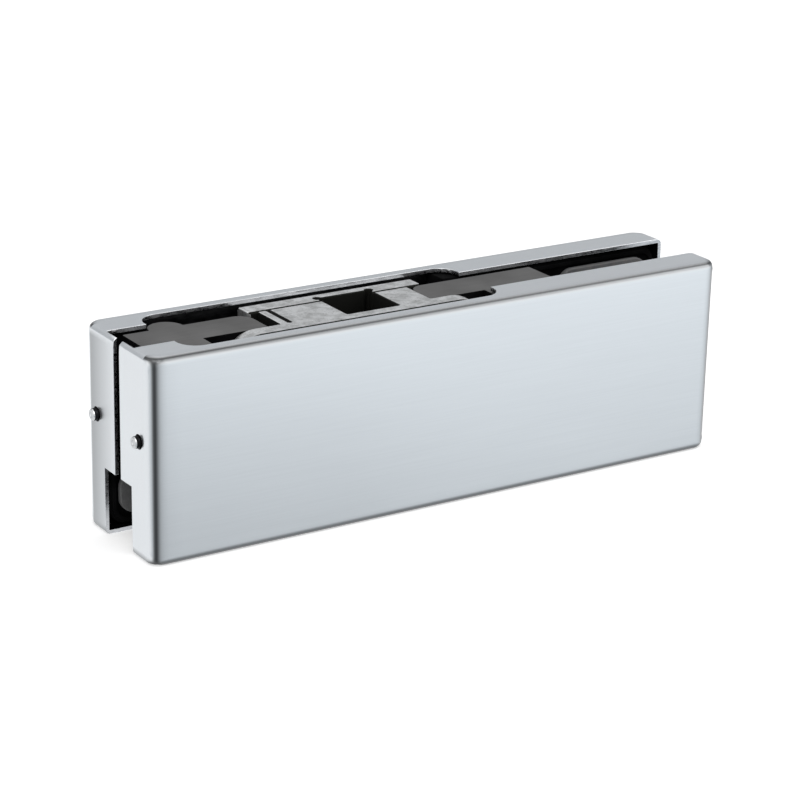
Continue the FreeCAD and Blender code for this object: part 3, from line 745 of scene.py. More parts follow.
@dataclass
class PressedCover:
    """One pressed steel cover: brushed flats, painted shade in the bends, a near-black back as painted
    shade, and sheared edges.
    """

    half: Half
    wall: float = 1.1
    packed_radius: float = 2.4
    corner_radius: float = 4.0
    fold_radius: float = 1.6
    warp_depth: float = 2.6
    snap: float = 0.4
    dark_turn: float = 0.42
    funnel: float = 0.85
    funnel_fold: float = 0.42
    funnel_turns: Span = (-0.1, 1.0)
    # Turns along the foot fold, which set the painted dark line there.
    foot_turns: Curve = (
        (-1.0, -0.12, 0.0, 0.1, 0.25, 0.8, 1.0, 2.0),
        (-1.0, -0.05, 0.26, 0.34, 0.44, 0.5, 1.0, 2.0),
    )
    spill: float = 6.0
    cuts: tuple[float, ...] = (2.4, 2.8, 3.2, 3.6, 4.0, 5.0, 8.4)
    wall_cuts: tuple[float, ...] = (4.0, 6.5, 9.5, 12.5)
    # Painted shade on the end walls, by depth under the outer face.
    wall_shades: Curve = ((0.0, 15.0), (1.0, 1.0))
    wall_start: Span = (0.5, 0.22)
    foot_depth: float = 0.75
    edge_width: float = 0.12 * MM
    steel: BrushedSteel = BrushedSteel()
    # Near-black back: painted shade on the cover's inside.
    back: SheetBack = SheetBack()
    sheared: SheetBack = SheetBack(
        name="sheared_edge",
        light=(0.66, 0.67, 0.69),
        dark=(0.50, 0.51, 0.53),
        roughness=0.28,
        grain=1600.0,
        depth=0.0008 * MM,
    )

    @property
    def node(self) -> str:
        """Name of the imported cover."""
        return f"{self.half.word}_cover"

    def depths(self, places: np.ndarray) -> np.ndarray:
        """Give each place's depth under the nearest outer faces along X, Y and Z, in millimetres.

        Args:
            places: places in millimetres.

        Returns:
            One row of three depths for each place.
        """
        low, high = box_corners(self.node)
        along_x = np.minimum(places[:, 0] - low[0], high[0] - places[:, 0])
        along_z = np.minimum(places[:, 2] - low[2], high[2] - places[:, 2])
        along_y = places[:, 1] - low[1] if self.half is Half.FRONT else high[1] - places[:, 1]
        return np.stack([along_x, along_y, along_z], axis=1)

    def outline_depth(self, places: np.ndarray) -> np.ndarray:
        """Give each place's depth under the cover's outline in plan, with its rounded corners."""
        aside, inward = self.depths(places)[:, :2].T
        return rounded_depth(aside, inward, self.corner_radius)

    def fold_turn(self, places: np.ndarray) -> np.ndarray:
        """Give the turn in the folds along the cover's outline."""
        return self.bend_turn(self.depths(places)[:, 2], self.outline_depth(places), self.fold_radius)

    def reshape(self, piece: bpy.types.Object) -> None:
        """Widen the upright corners and tighten the folds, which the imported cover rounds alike.

        Args:
            piece: the merged cover.
        """
        places = point_places(piece.data)
        aside, inward, under = self.depths(places).T
        to_middle = np.sign(sum(box_corners(self.node)) / 2 - places)
        to_middle[:, 1] = -self.half.side
        for axis, depth, radius in ((0, aside, self.corner_radius), (2, under, self.fold_radius)):
            packed = corner_sink(depth - inward, self.packed_radius)
            below = (depth + inward) / 2 - packed
            share = np.clip(self.warp_depth - below, 0.0, 1.0)
            step = (corner_sink(depth - inward, radius) - packed) * share
            places[:, axis] += to_middle[:, axis] * step
            places[:, 1] += to_middle[:, 1] * step
        self.true_up(places, to_middle)
        piece.data.vertices.foreach_set("co", (places * MM).ravel())
        piece.data.update()

    def true_up(self, places: np.ndarray, to_middle: np.ndarray) -> None:
        """Set the points on the outer side exactly on the rounded outline and its folds.

        Args:
            places: the points in millimetres, which are changed.
            to_middle: signs of the directions from each point into the cover.
        """
        radius, wide = self.fold_radius, self.corner_radius
        aside, inward, under = self.depths(places).T
        outline = self.outline_depth(places)
        from_outline, from_top = radius - outline, radius - under
        reach = np.hypot(from_outline, from_top)
        outer = (outline < radius) & (under < radius) & (np.abs(radius - reach) < self.snap)
        scale = np.where(outer, radius / np.maximum(reach, 1e-6) - 1.0, 0.0)
        places[:, 2] -= to_middle[:, 2] * from_top * scale
        across = np.stack([np.maximum(wide - aside, 0.0), np.maximum(wide - inward, 0.0)], axis=1)
        in_corner = (aside < wide) & (inward < wide)
        straight = np.stack([aside < inward, inward <= aside], axis=1).astype(float)
        across = np.where(in_corner[:, None], across, straight)
        across /= np.maximum(np.linalg.norm(across, axis=1), 1e-6)[:, None]
        places[:, :2] -= to_middle[:, :2] * across * (from_outline * scale)[:, None]

    def bend_turn(self, aside: np.ndarray, inward: np.ndarray, radius: float) -> np.ndarray:
        """Give how far the surface has turned in one bend: 0 on the outer face, 1 past the bend.

        The factor goes on below 0 and above 1 beyond the bend, so that a tone can fade out there.

        Args:
            aside: depth under the face that the bend turns to.
            inward: depth under the outer face.
            radius: radius of the bend.

        Returns:
            The factor for each place.
        """
        angle = np.arctan2(np.maximum(radius - aside, 0.0), np.maximum(radius - inward, 1e-6))
        fade = np.where(aside < radius, np.maximum(inward - radius, 0.0), radius - aside) / self.spill
        return angle / (math.pi / 2) + np.clip(fade, -1.0, 1.0)

    def deep_turn(self, places: np.ndarray) -> np.ndarray:
        """Give the turn in the bend at the left end, whose painted dark line widens where it meets the
        folds.

        Args:
            places: places in millimetres.

        Returns:
            The turn at each place.
        """
        low, _ = box_corners(self.node)
        turn = self.bend_turn(places[:, 0] - low[0], self.depths(places)[:, 1], self.corner_radius)
        near_fold = np.clip(self.fold_turn(places) / self.funnel_fold, 0.0, 1.0)
        widened = self.dark_turn + (turn - self.dark_turn) * (1 - self.funnel * near_fold)
        return np.where(within(turn, self.funnel_turns), widened, turn)

    def thin_turn(self, places: np.ndarray) -> np.ndarray:
        """Give the turn in the folds along the cover's outline and in the bend at the right end.

        Args:
            places: places in millimetres.

        Returns:
            The turn at each place.
        """
        low, high = box_corners(self.node)
        fold = self.fold_turn(places)
        fold = np.where(places[:, 2] < (low[2] + high[2]) / 2, np.interp(fold, *self.foot_turns), fold)
        end = self.bend_turn(high[0] - places[:, 0], self.depths(places)[:, 1], self.corner_radius)
        return np.maximum(fold, end)

    def wall_shade(self, places: np.ndarray) -> np.ndarray:
        """Give the painted shade of the end walls and the painted dark line along the left one's foot, and 1
        elsewhere.

        Args:
            places: places in millimetres.

        Returns:
            The tone at each place.
        """
        low, high = box_corners(self.node)
        depths = self.depths(places)
        flush = 0.05
        wall = np.where(depths[:, 0] < flush, np.interp(depths[:, 1], *self.wall_shades), 1.0)
        tone = np.interp(self.thin_turn(places), *zip(*self.steel.thin_bend))
        start, length = self.wall_start
        share = np.clip((self.deep_turn(places) - start) / length, 0.0, 1.0) * self.foot_depth
        return wall * np.where(places[:, 2] < (low[2] + high[2]) / 2, 1.0 + (tone - 1.0) * share, 1.0)

    def planes(self) -> list[tuple[Vector, Vector]]:
        """Give the planes that cut the flats beside the bends.

        Returns:
            A point and a normal for each plane.
        """
        low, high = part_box(self.node)
        along, across, upright = Vector((1, 0, 0)), Vector((0, 1, 0)), Vector((0, 0, 1))
        found = []
        for step in self.cuts:
            inset = Vector((step, step, step)) * MM
            for axis in (along, upright):
                found += [(axis * (low + inset).dot(axis), axis), (axis * (high - inset).dot(axis), axis)]
        face = low.y if self.half is Half.FRONT else high.y
        for step in (*self.cuts, *self.wall_cuts):
            found.append((across * (face - self.half.side * step * MM), across))
        return found

    def sort_faces(self, piece: bpy.types.Object) -> None:
        """Number the faces: 0 for the outer side, 1 for the sheet's back, which carries painted shade, 2 for
        its sheared edges.

        Args:
            piece: the softened cover.
        """
        centres, normals = face_places(piece.data)
        depths = self.depths(centres)
        outline, under = self.outline_depth(centres), depths[:, 2]
        depth = rounded_depth(outline, under, self.fold_radius)
        nearest = depths.argmin(axis=1)
        facing = np.abs(normals[np.arange(len(nearest)), nearest])
        skin, middle, inside = 0.15, self.wall * 0.7, self.wall * 0.98
        steep, slanted, past_fold = 0.3, 0.85, self.fold_radius + 0.4
        sheared = (facing < steep) & within(depth, (skin, inside))
        sheared |= (facing < slanted) & (outline > past_fold) & (under < inside)
        hidden = (depth > middle) & ~sheared
        piece.data.polygons.foreach_set("material_index", (hidden + 2 * sheared).astype(np.int32))

    def build(self) -> None:
        """Build the cover and set it on its half."""
        piece = merged_copy(self.node, f"{self.node}_shell")
        cut_flats(piece, self.planes())
        self.reshape(piece)
        soften(piece, self.edge_width)
        places = point_places(piece.data)
        paint(piece, "POINT", "deep_turn", self.deep_turn(places))
        paint(piece, "POINT", "thin_turn", self.thin_turn(places))
        paint(piece, "POINT", "wall_shade", self.wall_shade(places))
        place_material(piece, self.steel.material(), self.back.material(), self.sheared.material())
        self.sort_faces(piece)
        join_body(piece, self.half.body, self.node)


@dataclass
class Casting:
    """One painted clamp casting; the front one carries the spacer, whose upward top carries painted light.
    """

    half: Half
    machined_height: float = 49.2
    edge_width: float = 0.22 * MM
    finish: CastPaint = CastPaint()

    def machined(self, centres: np.ndarray, normals: np.ndarray) -> np.ndarray:
        """Give 1 on the spacer's flat upward top, which gets bare grey with painted light, and 0 on the
        other faces.

        Args:
            centres: centres of the faces in millimetres.
            normals: their normals.

        Returns:
            The factor for each face.
        """
        if self.half is Half.REAR:
            return np.zeros(len(centres))
        return ((centres[:, 2] > self.machined_height) & (normals[:, 2] > 0.9)).astype(float)

    def build(self) -> None:
        """Build the casting and set it on its half."""
        node = f"{self.half.word}_clamp"
        piece = merged_copy(node, f"{node}_casting")
        soften(piece, self.edge_width)
        paint(piece, "FACE", "machined", self.machined(*face_places(piece.data)))
        place_material(piece, self.finish.material())
        join_body(piece, self.half.body, node)


@dataclass
class GasketPad:
    """One gasket between a casting and the glass."""

    half: Half
    edge_width: float = 0.3 * MM
    finish: Rubber = Rubber()

    def build(self) -> None:
        """Build the gasket and set it on its half."""
        node = f"{self.half.word}_gasket"
        piece = merged_copy(node, f"{node}_pad")
        soften(piece, self.edge_width, segments=3)
        place_material(piece, self.finish.material())
        join_body(piece, self.half.body, node)


@dataclass
class PivotInsert:
    """The cast insert with the spindle socket, and the plate that closes it."""

    body: str = "pivot_insert"
    groove: Span = (1.8, 6.5)
    groove_depth: float = 1.0
    mark: Span = (-38.9, -37.5)
    mark_reach: float = -5.0
    socket: tuple[Span, Span] = ((-24.0, -7.0), (-5.8, 9.9))
    gap: Span = (-41.2, -40.4)
    worn_ends: tuple[tuple[float, Span], ...] = ((-42.6, (6.9, 100.0)), (-39.9, (-6.5, 6.5)))
    worn_depth: float = 0.6
    wear: float = 0.7
    seam_width: float = 0.45
    seam_depth: float = 0.35
    seam_dark: float = 0.5
    skin: float = 0.02
    plate_front: float = 6.0
    edge_width: float = 0.3 * MM
    finish: CastInsert = CastInsert()

    def open_seam(self, piece: bpy.types.Object, side: int) -> None:
        """Chamfer the top edge along the joint between block and plate.

        Args:
            piece: the block or the plate.
            side: -1 for the block in front of the joint, 1 for the plate behind it.
        """
        _, joint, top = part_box("insert_body")[1]
        near = 0.01 * MM
        cut_flats(piece, [(Vector((0, joint + side * self.seam_width * MM, 0)), Vector((0, 1, 0)))])
        for vertex in piece.data.vertices:
            if abs(vertex.co.y - joint) < near and vertex.co.z > top - near:
                vertex.co.z -= self.seam_depth * MM
        piece.data.update()

    def tarnish(self, centres: np.ndarray, normals: np.ndarray) -> np.ndarray:
        """Give 1 where tarnish and painted shade darken the insert: the groove, the socket, the seam, the
        mark, the gap beside the block and front-facing faces further back; 0 elsewhere.

        Args:
            centres: centres of the faces in millimetres.
            normals: their normals.

        Returns:
            The factor for each face.
        """
        low, high = box_corners("insert_body")
        along, across, level = centres.T
        near_top = level > high[2] - self.groove_depth
        under = level < high[2] - self.skin
        leftward, frontward = normals[:, 0] < -0.7, normals[:, 1] < -0.9
        groove = within(across - low[1], self.groove) & near_top
        socket = within(along, self.socket[0]) & within(across, self.socket[1]) & under
        seam = (np.abs(across - high[1]) < self.seam_dark) & (level > high[2] - self.seam_dark) & under
        mark = within(along, self.mark) & within(across, (self.mark_reach, high[1])) & under & near_top
        gap = within(along, self.gap) & leftward & under
        shut = (across > self.plate_front) & frontward
        return (groove | socket | seam | mark | gap | shut).astype(float)

    def rubbed(self, centres: np.ndarray, normals: np.ndarray) -> np.ndarray:
        """Give the painted highlight, above 0 on the facets that round the upper edges at the plates' left
        ends.

        Args:
            centres: centres of the faces in millimetres.
            normals: their normals.

        Returns:
            The factor for each face.
        """
        along, across, level = centres.T
        # Facets at the plates' left ends that get the painted highlight.
        worn = np.zeros(len(centres), dtype=bool)
        for end, span in self.worn_ends:
            worn |= (along < end) & within(across, span)
        slanted = np.abs(normals).max(axis=1) < 0.96
        return self.wear * (worn & slanted & (level > box_corners("insert_body")[1][2] - self.worn_depth))

    def build(self) -> None:
        """Build both castings and set them on their body."""
        material = self.finish.material()
        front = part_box("insert_body")[0].y + self.groove[1] * MM
        for node, name, side in (
            ("insert_body", "pivot_insert_block", -1),
            ("insert_rear_plate", "pivot_insert_plate", 1),
        ):
            piece = merged_copy(node, name)
            cut_flats(piece, [(Vector((0, front, 0)), Vector((0, 1, 0)))])
            self.open_seam(piece, side)
            soften(piece, self.edge_width)
            faces = face_places(piece.data)
            paint(piece, "FACE", "tarnish", self.tarnish(*faces))
            paint(piece, "FACE", "rubbed", self.rubbed(*faces))
            place_material(piece, material)
            join_body(piece, self.body, node)


@dataclass(frozen=True)
class Thread:
    """Sizes of a screw thread, in millimetres."""

    diameter: float
    pitch: float
    length: float

    @property
    def depth(self) -> float:
        """Depth of the thread."""
        return 0.61 * self.pitch

    @property
    def root(self) -> float:
        """Radius of the core under the thread."""
        return self.diameter / 2 - self.depth


@dataclass(frozen=True)
class Ribs:
    """Number and sizes of the ribs round a screw's head, in millimetres."""

    count: int
    radius: float
    size: float
    height: float
    middle: float


class ThreadTree(NodeMaker):
    """Geometry Nodes tree that winds a thread round a turned body and sets ribs round its head."""

    LENGTHS = ("Core Radius", "Crest", "Pitch", "Start", "Rib Radius", "Rib Size", "Rib Height", "Rib Start")

    def __init__(self) -> None:
        """Build the tree once for all screws."""
        super().__init__(bpy.data.node_groups.new("thread_and_ribs", "GeometryNodeTree"))
        face = self.tree.interface
        face.new_socket("Geometry", in_out="INPUT", socket_type="NodeSocketGeometry")
        for name in (*self.LENGTHS, "Turns"):
            face.new_socket(name, in_out="INPUT", socket_type="NodeSocketFloat")
        face.new_socket("Ribs", in_out="INPUT", socket_type="NodeSocketInt")
        face.new_socket("Finish", in_out="INPUT", socket_type="NodeSocketMaterial")
        face.new_socket("Geometry", in_out="OUTPUT", socket_type="NodeSocketGeometry")
        self.given = self.tree.nodes.new("NodeGroupInput").outputs
        parts = [self.given["Geometry"], self.thread(), self.ribs()]
        joined = self.add("GeometryNodeJoinGeometry")
        for part in parts:
            self.tree.links.new(part, joined.inputs["Geometry"])
        real = self.add("GeometryNodeRealizeInstances", {"Geometry": joined.outputs["Geometry"]})
        inputs = {"Geometry": real.outputs["Geometry"], "Material": self.given["Finish"]}
        dressed = self.add("GeometryNodeSetMaterial", inputs)
        self.add("NodeGroupOutput", {0: dressed.outputs["Geometry"]})

    def spot(self, height: Socket) -> Socket:
        """Give the point on the screw's axis at a height."""
        return self.add("ShaderNodeCombineXYZ", {"Z": height}).outputs["Vector"]

    def thread(self) -> Socket:
        """Wind the thread: a triangle that follows a helix round the core.

        Returns:
            The socket with the thread's mesh.
        """
        inputs = {
            "Resolution": 28,
            "Rotations": self.given["Turns"],
            "Start Radius": self.given["Core Radius"],
            "End Radius": self.given["Core Radius"],
            "Height": self.math("MULTIPLY", self.given["Turns"], self.given["Pitch"]),
        }
        helix = self.add("GeometryNodeCurveSpiral", inputs)
        upright = self.add("GeometryNodeSetCurveNormal", {"Curve": helix.outputs["Curve"]}, mode="Z_UP")
        inputs = {"Resolution": 3, "Radius": self.given["Crest"]}
        ridge = self.add("GeometryNodeCurvePrimitiveCircle", inputs)
        inputs = {"Curve": upright.outputs["Curve"], "Profile Curve": ridge.outputs["Curve"]}
        wound = self.add("GeometryNodeCurveToMesh", {**inputs, "Fill Caps": True})
        inputs = {"Geometry": wound.outputs["Mesh"], "Translation": self.spot(self.given["Start"])}
        return self.add("GeometryNodeTransform", inputs).outputs["Geometry"]

    def ribs(self) -> Socket:
        """Stand the ribs round the head, each with one edge outwards.

        Returns:
            The socket with the ribs' mesh.
        """
        given = self.given
        ring = self.add("GeometryNodeMeshCircle", {"Vertices": given["Ribs"], "Radius": given["Rib Radius"]})
        place = {"Vector": self.add("GeometryNodeInputPosition").outputs["Position"]}
        facing = self.add("FunctionNodeAlignRotationToVector", place, axis="X", pivot_axis="Z")
        inputs = {"X": given["Rib Size"], "Y": given["Rib Size"], "Z": given["Rib Height"]}
        size = self.add("ShaderNodeCombineXYZ", inputs)
        block = self.add("GeometryNodeMeshCube", {"Size": size.outputs["Vector"]})
        inputs = {"Geometry": block.outputs["Mesh"], "Rotation": (0.0, 0.0, math.pi / 4)}
        turned = self.add("GeometryNodeTransform", inputs)
        inputs = {
            "Points": ring.outputs["Mesh"],
            "Instance": turned.outputs["Geometry"],
            "Rotation": facing.outputs["Rotation"],
        }
        many = self.add("GeometryNodeInstanceOnPoints", inputs)
        inputs = {"Geometry": many.outputs["Instances"], "Translation": self.spot(given["Rib Start"])}
        return self.add("GeometryNodeTransform", inputs).outputs["Geometry"]

    def wind(
        self,
        piece: bpy.types.Object,
        thread: Thread,
        foot: float,
        lead: float,
        sink: float,
        ribs: Ribs,
        finish: bpy.types.Material,
    ) -> None:
        """Run the tree on an object and keep the result as plain mesh.

        Args:
            piece: the object with the turned body, upright on the origin.
            thread: sizes of the thread.
            foot: height of the screw's point in millimetres.
            lead: distance from the point to the start of the thread.
            sink: how far the thread's foot lies under the core's surface.
            ribs: the ribs round the head.
            finish: material of the whole screw.
        """
        lengths = {
            "Core Radius": thread.root - sink,
            "Crest": thread.depth,
            "Pitch": thread.pitch,
            "Start": foot + lead,
            "Rib Radius": ribs.radius,
            "Rib Size": ribs.size,
            "Rib Height": ribs.height,
            "Rib Start": ribs.middle,
        }
        values: dict[str, object] = {name: length * MM for name, length in lengths.items()}
        turns = (thread.length - lead) / thread.pitch - 0.5
        values.update({"Turns": turns, "Ribs": ribs.count, "Finish": finish})
        modifier = piece.modifiers.new("thread_and_ribs", "NODES")
        modifier.node_group = self.tree
        for item in self.tree.interface.items_tree:
            if item.item_type == "SOCKET" and item.in_out == "INPUT" and item.name in values:
                modifier[item.identifier] = values[item.name]
        bake_modifiers(piece)


def hexagon(across: float) -> Callable[[float], float]:
    """Give the rule for a hexagon's radius by angle, from its size across flats."""
    return lambda angle: across / 2 / math.cos((angle + math.pi / 6) % (math.pi / 3) - math.pi / 6)


def turned_body(name: str, rings: Sequence[tuple[Radius, float]], ring_points: int = 48) -> bpy.types.Object:
    """Make a closed body of rings about the Z axis.

    Args:
        name: name of the object.
        rings: radius and height of each ring in millimetres; a radius of 0 closes the body, and a rule gives
            a radius for each angle.
        ring_points: points round each ring, a multiple of twelve.

    Returns:
        The new object.
    """
    piece = new_object(name)
    with editing(piece) as shape:
        rows = []
        for radius, height in rings:
            if radius == 0:
                rows.append([shape.verts.new((0, 0, height * MM))])
                continue
            row = []
            for step in range(ring_points):
                angle = 2 * math.pi * step / ring_points
                reach = (radius(angle) if callable(radius) else radius) * MM
                row.append(shape.verts.new((reach * math.cos(angle), reach * math.sin(angle), height * MM)))
            rows.append(row)
        for first, second in zip(rows, rows[1:]):
            for step in range(ring_points):
                after = (step + 1) % ring_points
                spots = ((first, step), (first, after), (second, after), (second, step))
                shape.faces.new(list(dict.fromkeys(row[spot % len(row)] for row, spot in spots)))
        bmesh.ops.recalc_face_normals(shape, faces=shape.faces)
    return piece


def shade_turned(piece: bpy.types.Object, angle: float = 35.0) -> None:
    """Smooth a turned mesh but keep edges sharper than an angle in degrees.

    Args:
        piece: the object.
        angle: the angle.
    """
    for face in piece.data.polygons:
        face.use_smooth = True
    piece.data.set_sharp_from_angle(angle=math.radians(angle))


def set_along(piece: bpy.types.Object, origin: Vector, direction: Vector) -> None:
    """Lay a mesh's Z axis along a direction, with its origin at a point.

    Args:
        piece: the object.
        origin: the point.
        direction: the direction.
    """
    turn = direction.to_track_quat("Z", "X").to_matrix().to_4x4()
    piece.data.transform(Matrix.Translation(origin) @ turn)
    piece.data.update()


@dataclass
class CapScrews:
    """Socket head screws of one kind, with knurled heads, and their washers."""

    names: tuple[str, ...]
    thread: Thread
    head_diameter: float
    head_height: float
    hex_size: float
    hex_depth: float
    head_side: int
    tree: ThreadTree
    finish: bpy.types.Material
    ribs: int = 44

    def screw(self, node: str) -> bpy.types.Object:
        """Build one screw where its node is.

        Args:
            node: name of the screw's node.

        Returns:
            The screw.
        """
        low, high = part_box(node)
        top = self.head_height
        foot = top - (high.y - low.y) / MM
        shank = self.thread.diameter / 2
        root = self.thread.root
        head = self.head_diameter / 2
        socket = hexagon(self.hex_size)
        rings = [
            (0, foot),
            (root - 0.6, foot),
            (root, foot + 0.7),
            (root, foot + self.thread.length),
            (shank - 0.02, foot + self.thread.length + 0.5),
            (shank - 0.02, -0.35),
            (shank + 0.15, 0.0),
            (head - 0.35, 0.0),
            (head - 0.12, 0.25),
            (head - 0.12, top - 0.45),
            (head - 0.5, top),
            (self.hex_size * 0.62, top),
            (socket, top - 0.3),
            (socket, top - self.hex_depth),
            (0, top - self.hex_depth - 0.4),
        ]
        piece = turned_body(f"{node}_threaded", rings)
        ribs = Ribs(self.ribs, radius=head - 0.19, size=0.26, height=top * 0.62, middle=top * 0.46)
        self.tree.wind(piece, self.thread, foot, lead=0.9, sink=0.02, ribs=ribs, finish=self.finish)
        shade_turned(piece)
        middle = (low + high) / 2
        seat = (low.y if self.head_side < 0 else high.y) - self.head_side * top * MM
        set_along(piece, Vector((middle.x, seat, middle.z)), Vector((0, self.head_side, 0)))
        place_material(piece, self.finish)
        return piece

    def washer(self, node: str) -> bpy.types.Object:
        """Build one washer where its node is, with rounded rims.

        Args:
            node: name of the washer's node.

        Returns:
            The washer.
        """
        low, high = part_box(node)
        outer = (high.x - low.x) / MM / 2
        inner = self.thread.diameter / 2 + 0.3
        half = (high.y - low.y) / MM / 2
        rim = min(0.2, half * 0.5)
        upper = [(inner, half - rim), (inner + rim, half), (outer - rim, half), (outer, half - rim)]
        lower = [(radius, -height) for radius, height in reversed(upper)]
        piece = turned_body(f"{node}_rounded", [*upper, *lower, upper[0]], ring_points=60)
        with editing(piece) as shape:
            bmesh.ops.remove_doubles(shape, verts=shape.verts, dist=0.001 * MM)
            bmesh.ops.recalc_face_normals(shape, faces=shape.faces)
        shade_turned(piece)
        set_along(piece, (low + high) / 2, Vector((0, 1, 0)))
        place_material(piece, self.finish)
        return piece

    def build(self) -> None:
        """Build every screw and its washer and set them on their body."""
        for node in self.names:
            washer = node.replace("screw", "washer")
            for name, piece in ((node, self.screw(node)), (washer, self.washer(washer))):
                join_body(piece, frame["nodes"][name]["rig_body"], name)


@dataclass
class LockScrews:
    """The small set screws in the end walls, which lock the covers: dark threads and a bright turned end."""

    tree: ThreadTree
    sides: bpy.types.Material
    face: bpy.types.Material
    thread: Thread = Thread(3.0, 0.5, 6.2)
    hex_size: float = 1.3
    hex_depth: float = 0.15
    face_depth: float = 0.36

    def screw(self, half: Half, end: End) -> None:
        """Build one screw where its node is.

        Args:
            half: half that it sits in.
            end: end that it sits at.
        """
        node = f"{half.word}_lock_screw_{end.word}"
        low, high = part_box(node)
        foot = (low.x - high.x) / MM
        shank = self.thread.diameter / 2
        root = self.thread.root
        socket = hexagon(self.hex_size)
        rings = [
            (0, foot),
            (root - 0.3, foot),
            (root, foot + 0.4),
            (root, foot + self.thread.length),
            (shank, foot + self.thread.length + 0.3),
            (shank, -0.4),
            (shank - 0.02, -0.34),
            (shank - 0.2, -0.04),
            (shank - 0.28, 0.0),
            (self.hex_size * 0.64, 0.0),
            (socket, -0.1),
            (socket, -self.hex_depth),
            (0, -self.hex_depth - 0.1),
        ]
        piece = turned_body(f"{node}_threaded", rings)
        ribs = Ribs(3, radius=root * 0.5, size=0.1, height=0.1, middle=foot / 2)
        self.tree.wind(piece, self.thread, foot, lead=0.5, sink=0.01, ribs=ribs, finish=self.sides)
        shade_turned(piece)
        place_material(piece, self.sides, self.face)
        for face in piece.data.polygons:
            face.material_index = int(face.center.z > -self.face_depth * MM)
        middle = (low + high) / 2
        tip = low.x if end is End.LEFT else high.x
        set_along(piece, Vector((tip, middle.y, middle.z)), Vector((end.value, 0, 0)))
        join_body(piece, half.body, node)

    def build(self) -> None:
        """Build the four screws."""
        for half in Half:
            for end in End:
                self.screw(half, end)


@dataclass
class Studio:
    """Floor, lights, world and camera."""

    camera_place: tuple[float, float, float] = (-0.3338, -0.5092, 0.2384)
    camera_yaw: float = 57.052
    camera_pitch: float = -19.564
    camera_roll: float = 1.273
    lens: float = 116.42
    floor_size: float = 14.0
    floor_colour: Colour = (0.90, 0.90, 0.90)
    floor_glow: float = 0.42
    mirrored_near: float = 0.70
    mirrored_far: float = 0.97
    mirrored_behind: Colour = (0.90, 0.912, 0.92)
    mirrored_tint: Colour = (0.935, 0.985, 1.02)
    front_foot: float = -0.017
    front_reach: float = 0.16
    dim_side: Span = (-0.10, 0.05)
    dim_tone: float = 0.81
    sky: float = 0.55
    band_radius: float = 1.7
    band_arc: Span = (-15.0, 160.0)
    band_steps: int = 32
    band_heights: Span = (0.10, 1.5)
    band_colour: Colour = (0.487 * 0.97, 0.487, 0.487 * 1.03)

    def camera(self) -> None:
        """Set up the camera where the photograph was taken from."""
        yaw, pitch, roll = (math.radians(a) for a in (self.camera_yaw, self.camera_pitch, self.camera_roll))
        ahead = Vector((math.cos(yaw) * math.cos(pitch), math.sin(yaw) * math.cos(pitch), math.sin(pitch)))
        level = Vector((math.sin(yaw), -math.cos(yaw), 0.0))
        upright = level.cross(ahead)
        right = math.cos(roll) * level + math.sin(roll) * upright
        above = -math.sin(roll) * level + math.cos(roll) * upright
        data = bpy.data.cameras.new("camera")
        data.lens = self.lens
        data.sensor_width = 36.0
        data.clip_start = 0.01
        data.clip_end = 50.0
        camera = bpy.data.objects.new("camera", data)
        bpy.context.scene.collection.objects.link(camera)
        turn = Matrix((right, above, -ahead)).transposed().to_4x4()
        camera.matrix_world = Matrix.Translation(Vector(self.camera_place)) @ turn
        bpy.context.scene.camera = camera

    def blank_material(self, name: str) -> tuple[bpy.types.Material, NodeMaker]:
        """Make a material without nodes, and the maker for them.

        Args:
            name: name of the material.

        Returns:
            The material and the maker.
        """
        material = bpy.data.materials.new(name)
        material.use_nodes = True
        material.node_tree.nodes.clear()
        return material, NodeMaker(material.node_tree)

    def floor(self) -> None:
        """Lay the pale floor, which keeps the soft shadow; in reflections it shows painted shade at its
        front foot and towards the left.
        """
        bpy.ops.mesh.primitive_plane_add(size=self.floor_size, location=(0, 0, 0))
        floor = bpy.context.object
        floor.name = "studio_floor"
        material, maker = self.blank_material("pale_floor")
        add = maker.add
        spot = add("ShaderNodeSeparateXYZ", {0: add("ShaderNodeTexCoord").outputs["Object"]}).outputs
        # Painted shade in the floor's reflections: dimmer near the front foot and towards the left.
        reach = self.front_foot - self.front_reach
        nearness = maker.ramp(spot["Y"], self.front_foot, reach, self.mirrored_near, self.mirrored_far)
        front = maker.math("MULTIPLY", nearness, maker.ramp(spot["X"], *self.dim_side, self.dim_tone, 1.0))
        behind = maker.math("GREATER_THAN", spot["Y"], self.front_foot)
        path = add("ShaderNodeLightPath").outputs
        reflected = maker.math("MAXIMUM", path["Is Glossy Ray"], path["Is Transmission Ray"])
        shine = maker.math("MULTIPLY", path["Is Camera Ray"], self.floor_glow)
        glow = add("ShaderNodeEmission", {"Strength": shine})
        diffuse = add("ShaderNodeBsdfDiffuse", {"Color": (*self.floor_colour, 1.0)})
        plain = add("ShaderNodeAddShader", {0: diffuse.outputs[0], 1: glow.outputs[0]})
        before = add("ShaderNodeEmission", {"Color": (*self.mirrored_tint, 1.0), "Strength": front})
        beyond = add("ShaderNodeEmission", {"Color": (*self.mirrored_behind, 1.0)})
        mirrored = add("ShaderNodeMixShader", {0: behind, 1: before.outputs[0], 2: beyond.outputs[0]})
        surface = add("ShaderNodeMixShader", {0: reflected, 1: plain.outputs[0], 2: mirrored.outputs[0]})
        add("ShaderNodeOutputMaterial", {"Surface": surface.outputs[0]})
        floor.data.materials.append(material)

    def world(self) -> None:
        """Set an even sky that is white where it is seen."""
        world = bpy.data.worlds.new("studio_sky")
        world.use_nodes = True
        maker = NodeMaker(world.node_tree)
        path = maker.add("ShaderNodeLightPath").outputs
        seen = maker.math("MAXIMUM", path["Is Camera Ray"], path["Is Glossy Ray"])
        seen = maker.math("MAXIMUM", seen, path["Is Transmission Ray"])
        background = world.node_tree.nodes["Background"]
        background.inputs["Color"].default_value = (1.0, 1.0, 1.0, 1.0)
        strength = maker.ramp(seen, 0.0, 1.0, self.sky, 1.0)
        world.node_tree.links.new(strength, background.inputs["Strength"])
        bpy.context.scene.world = world

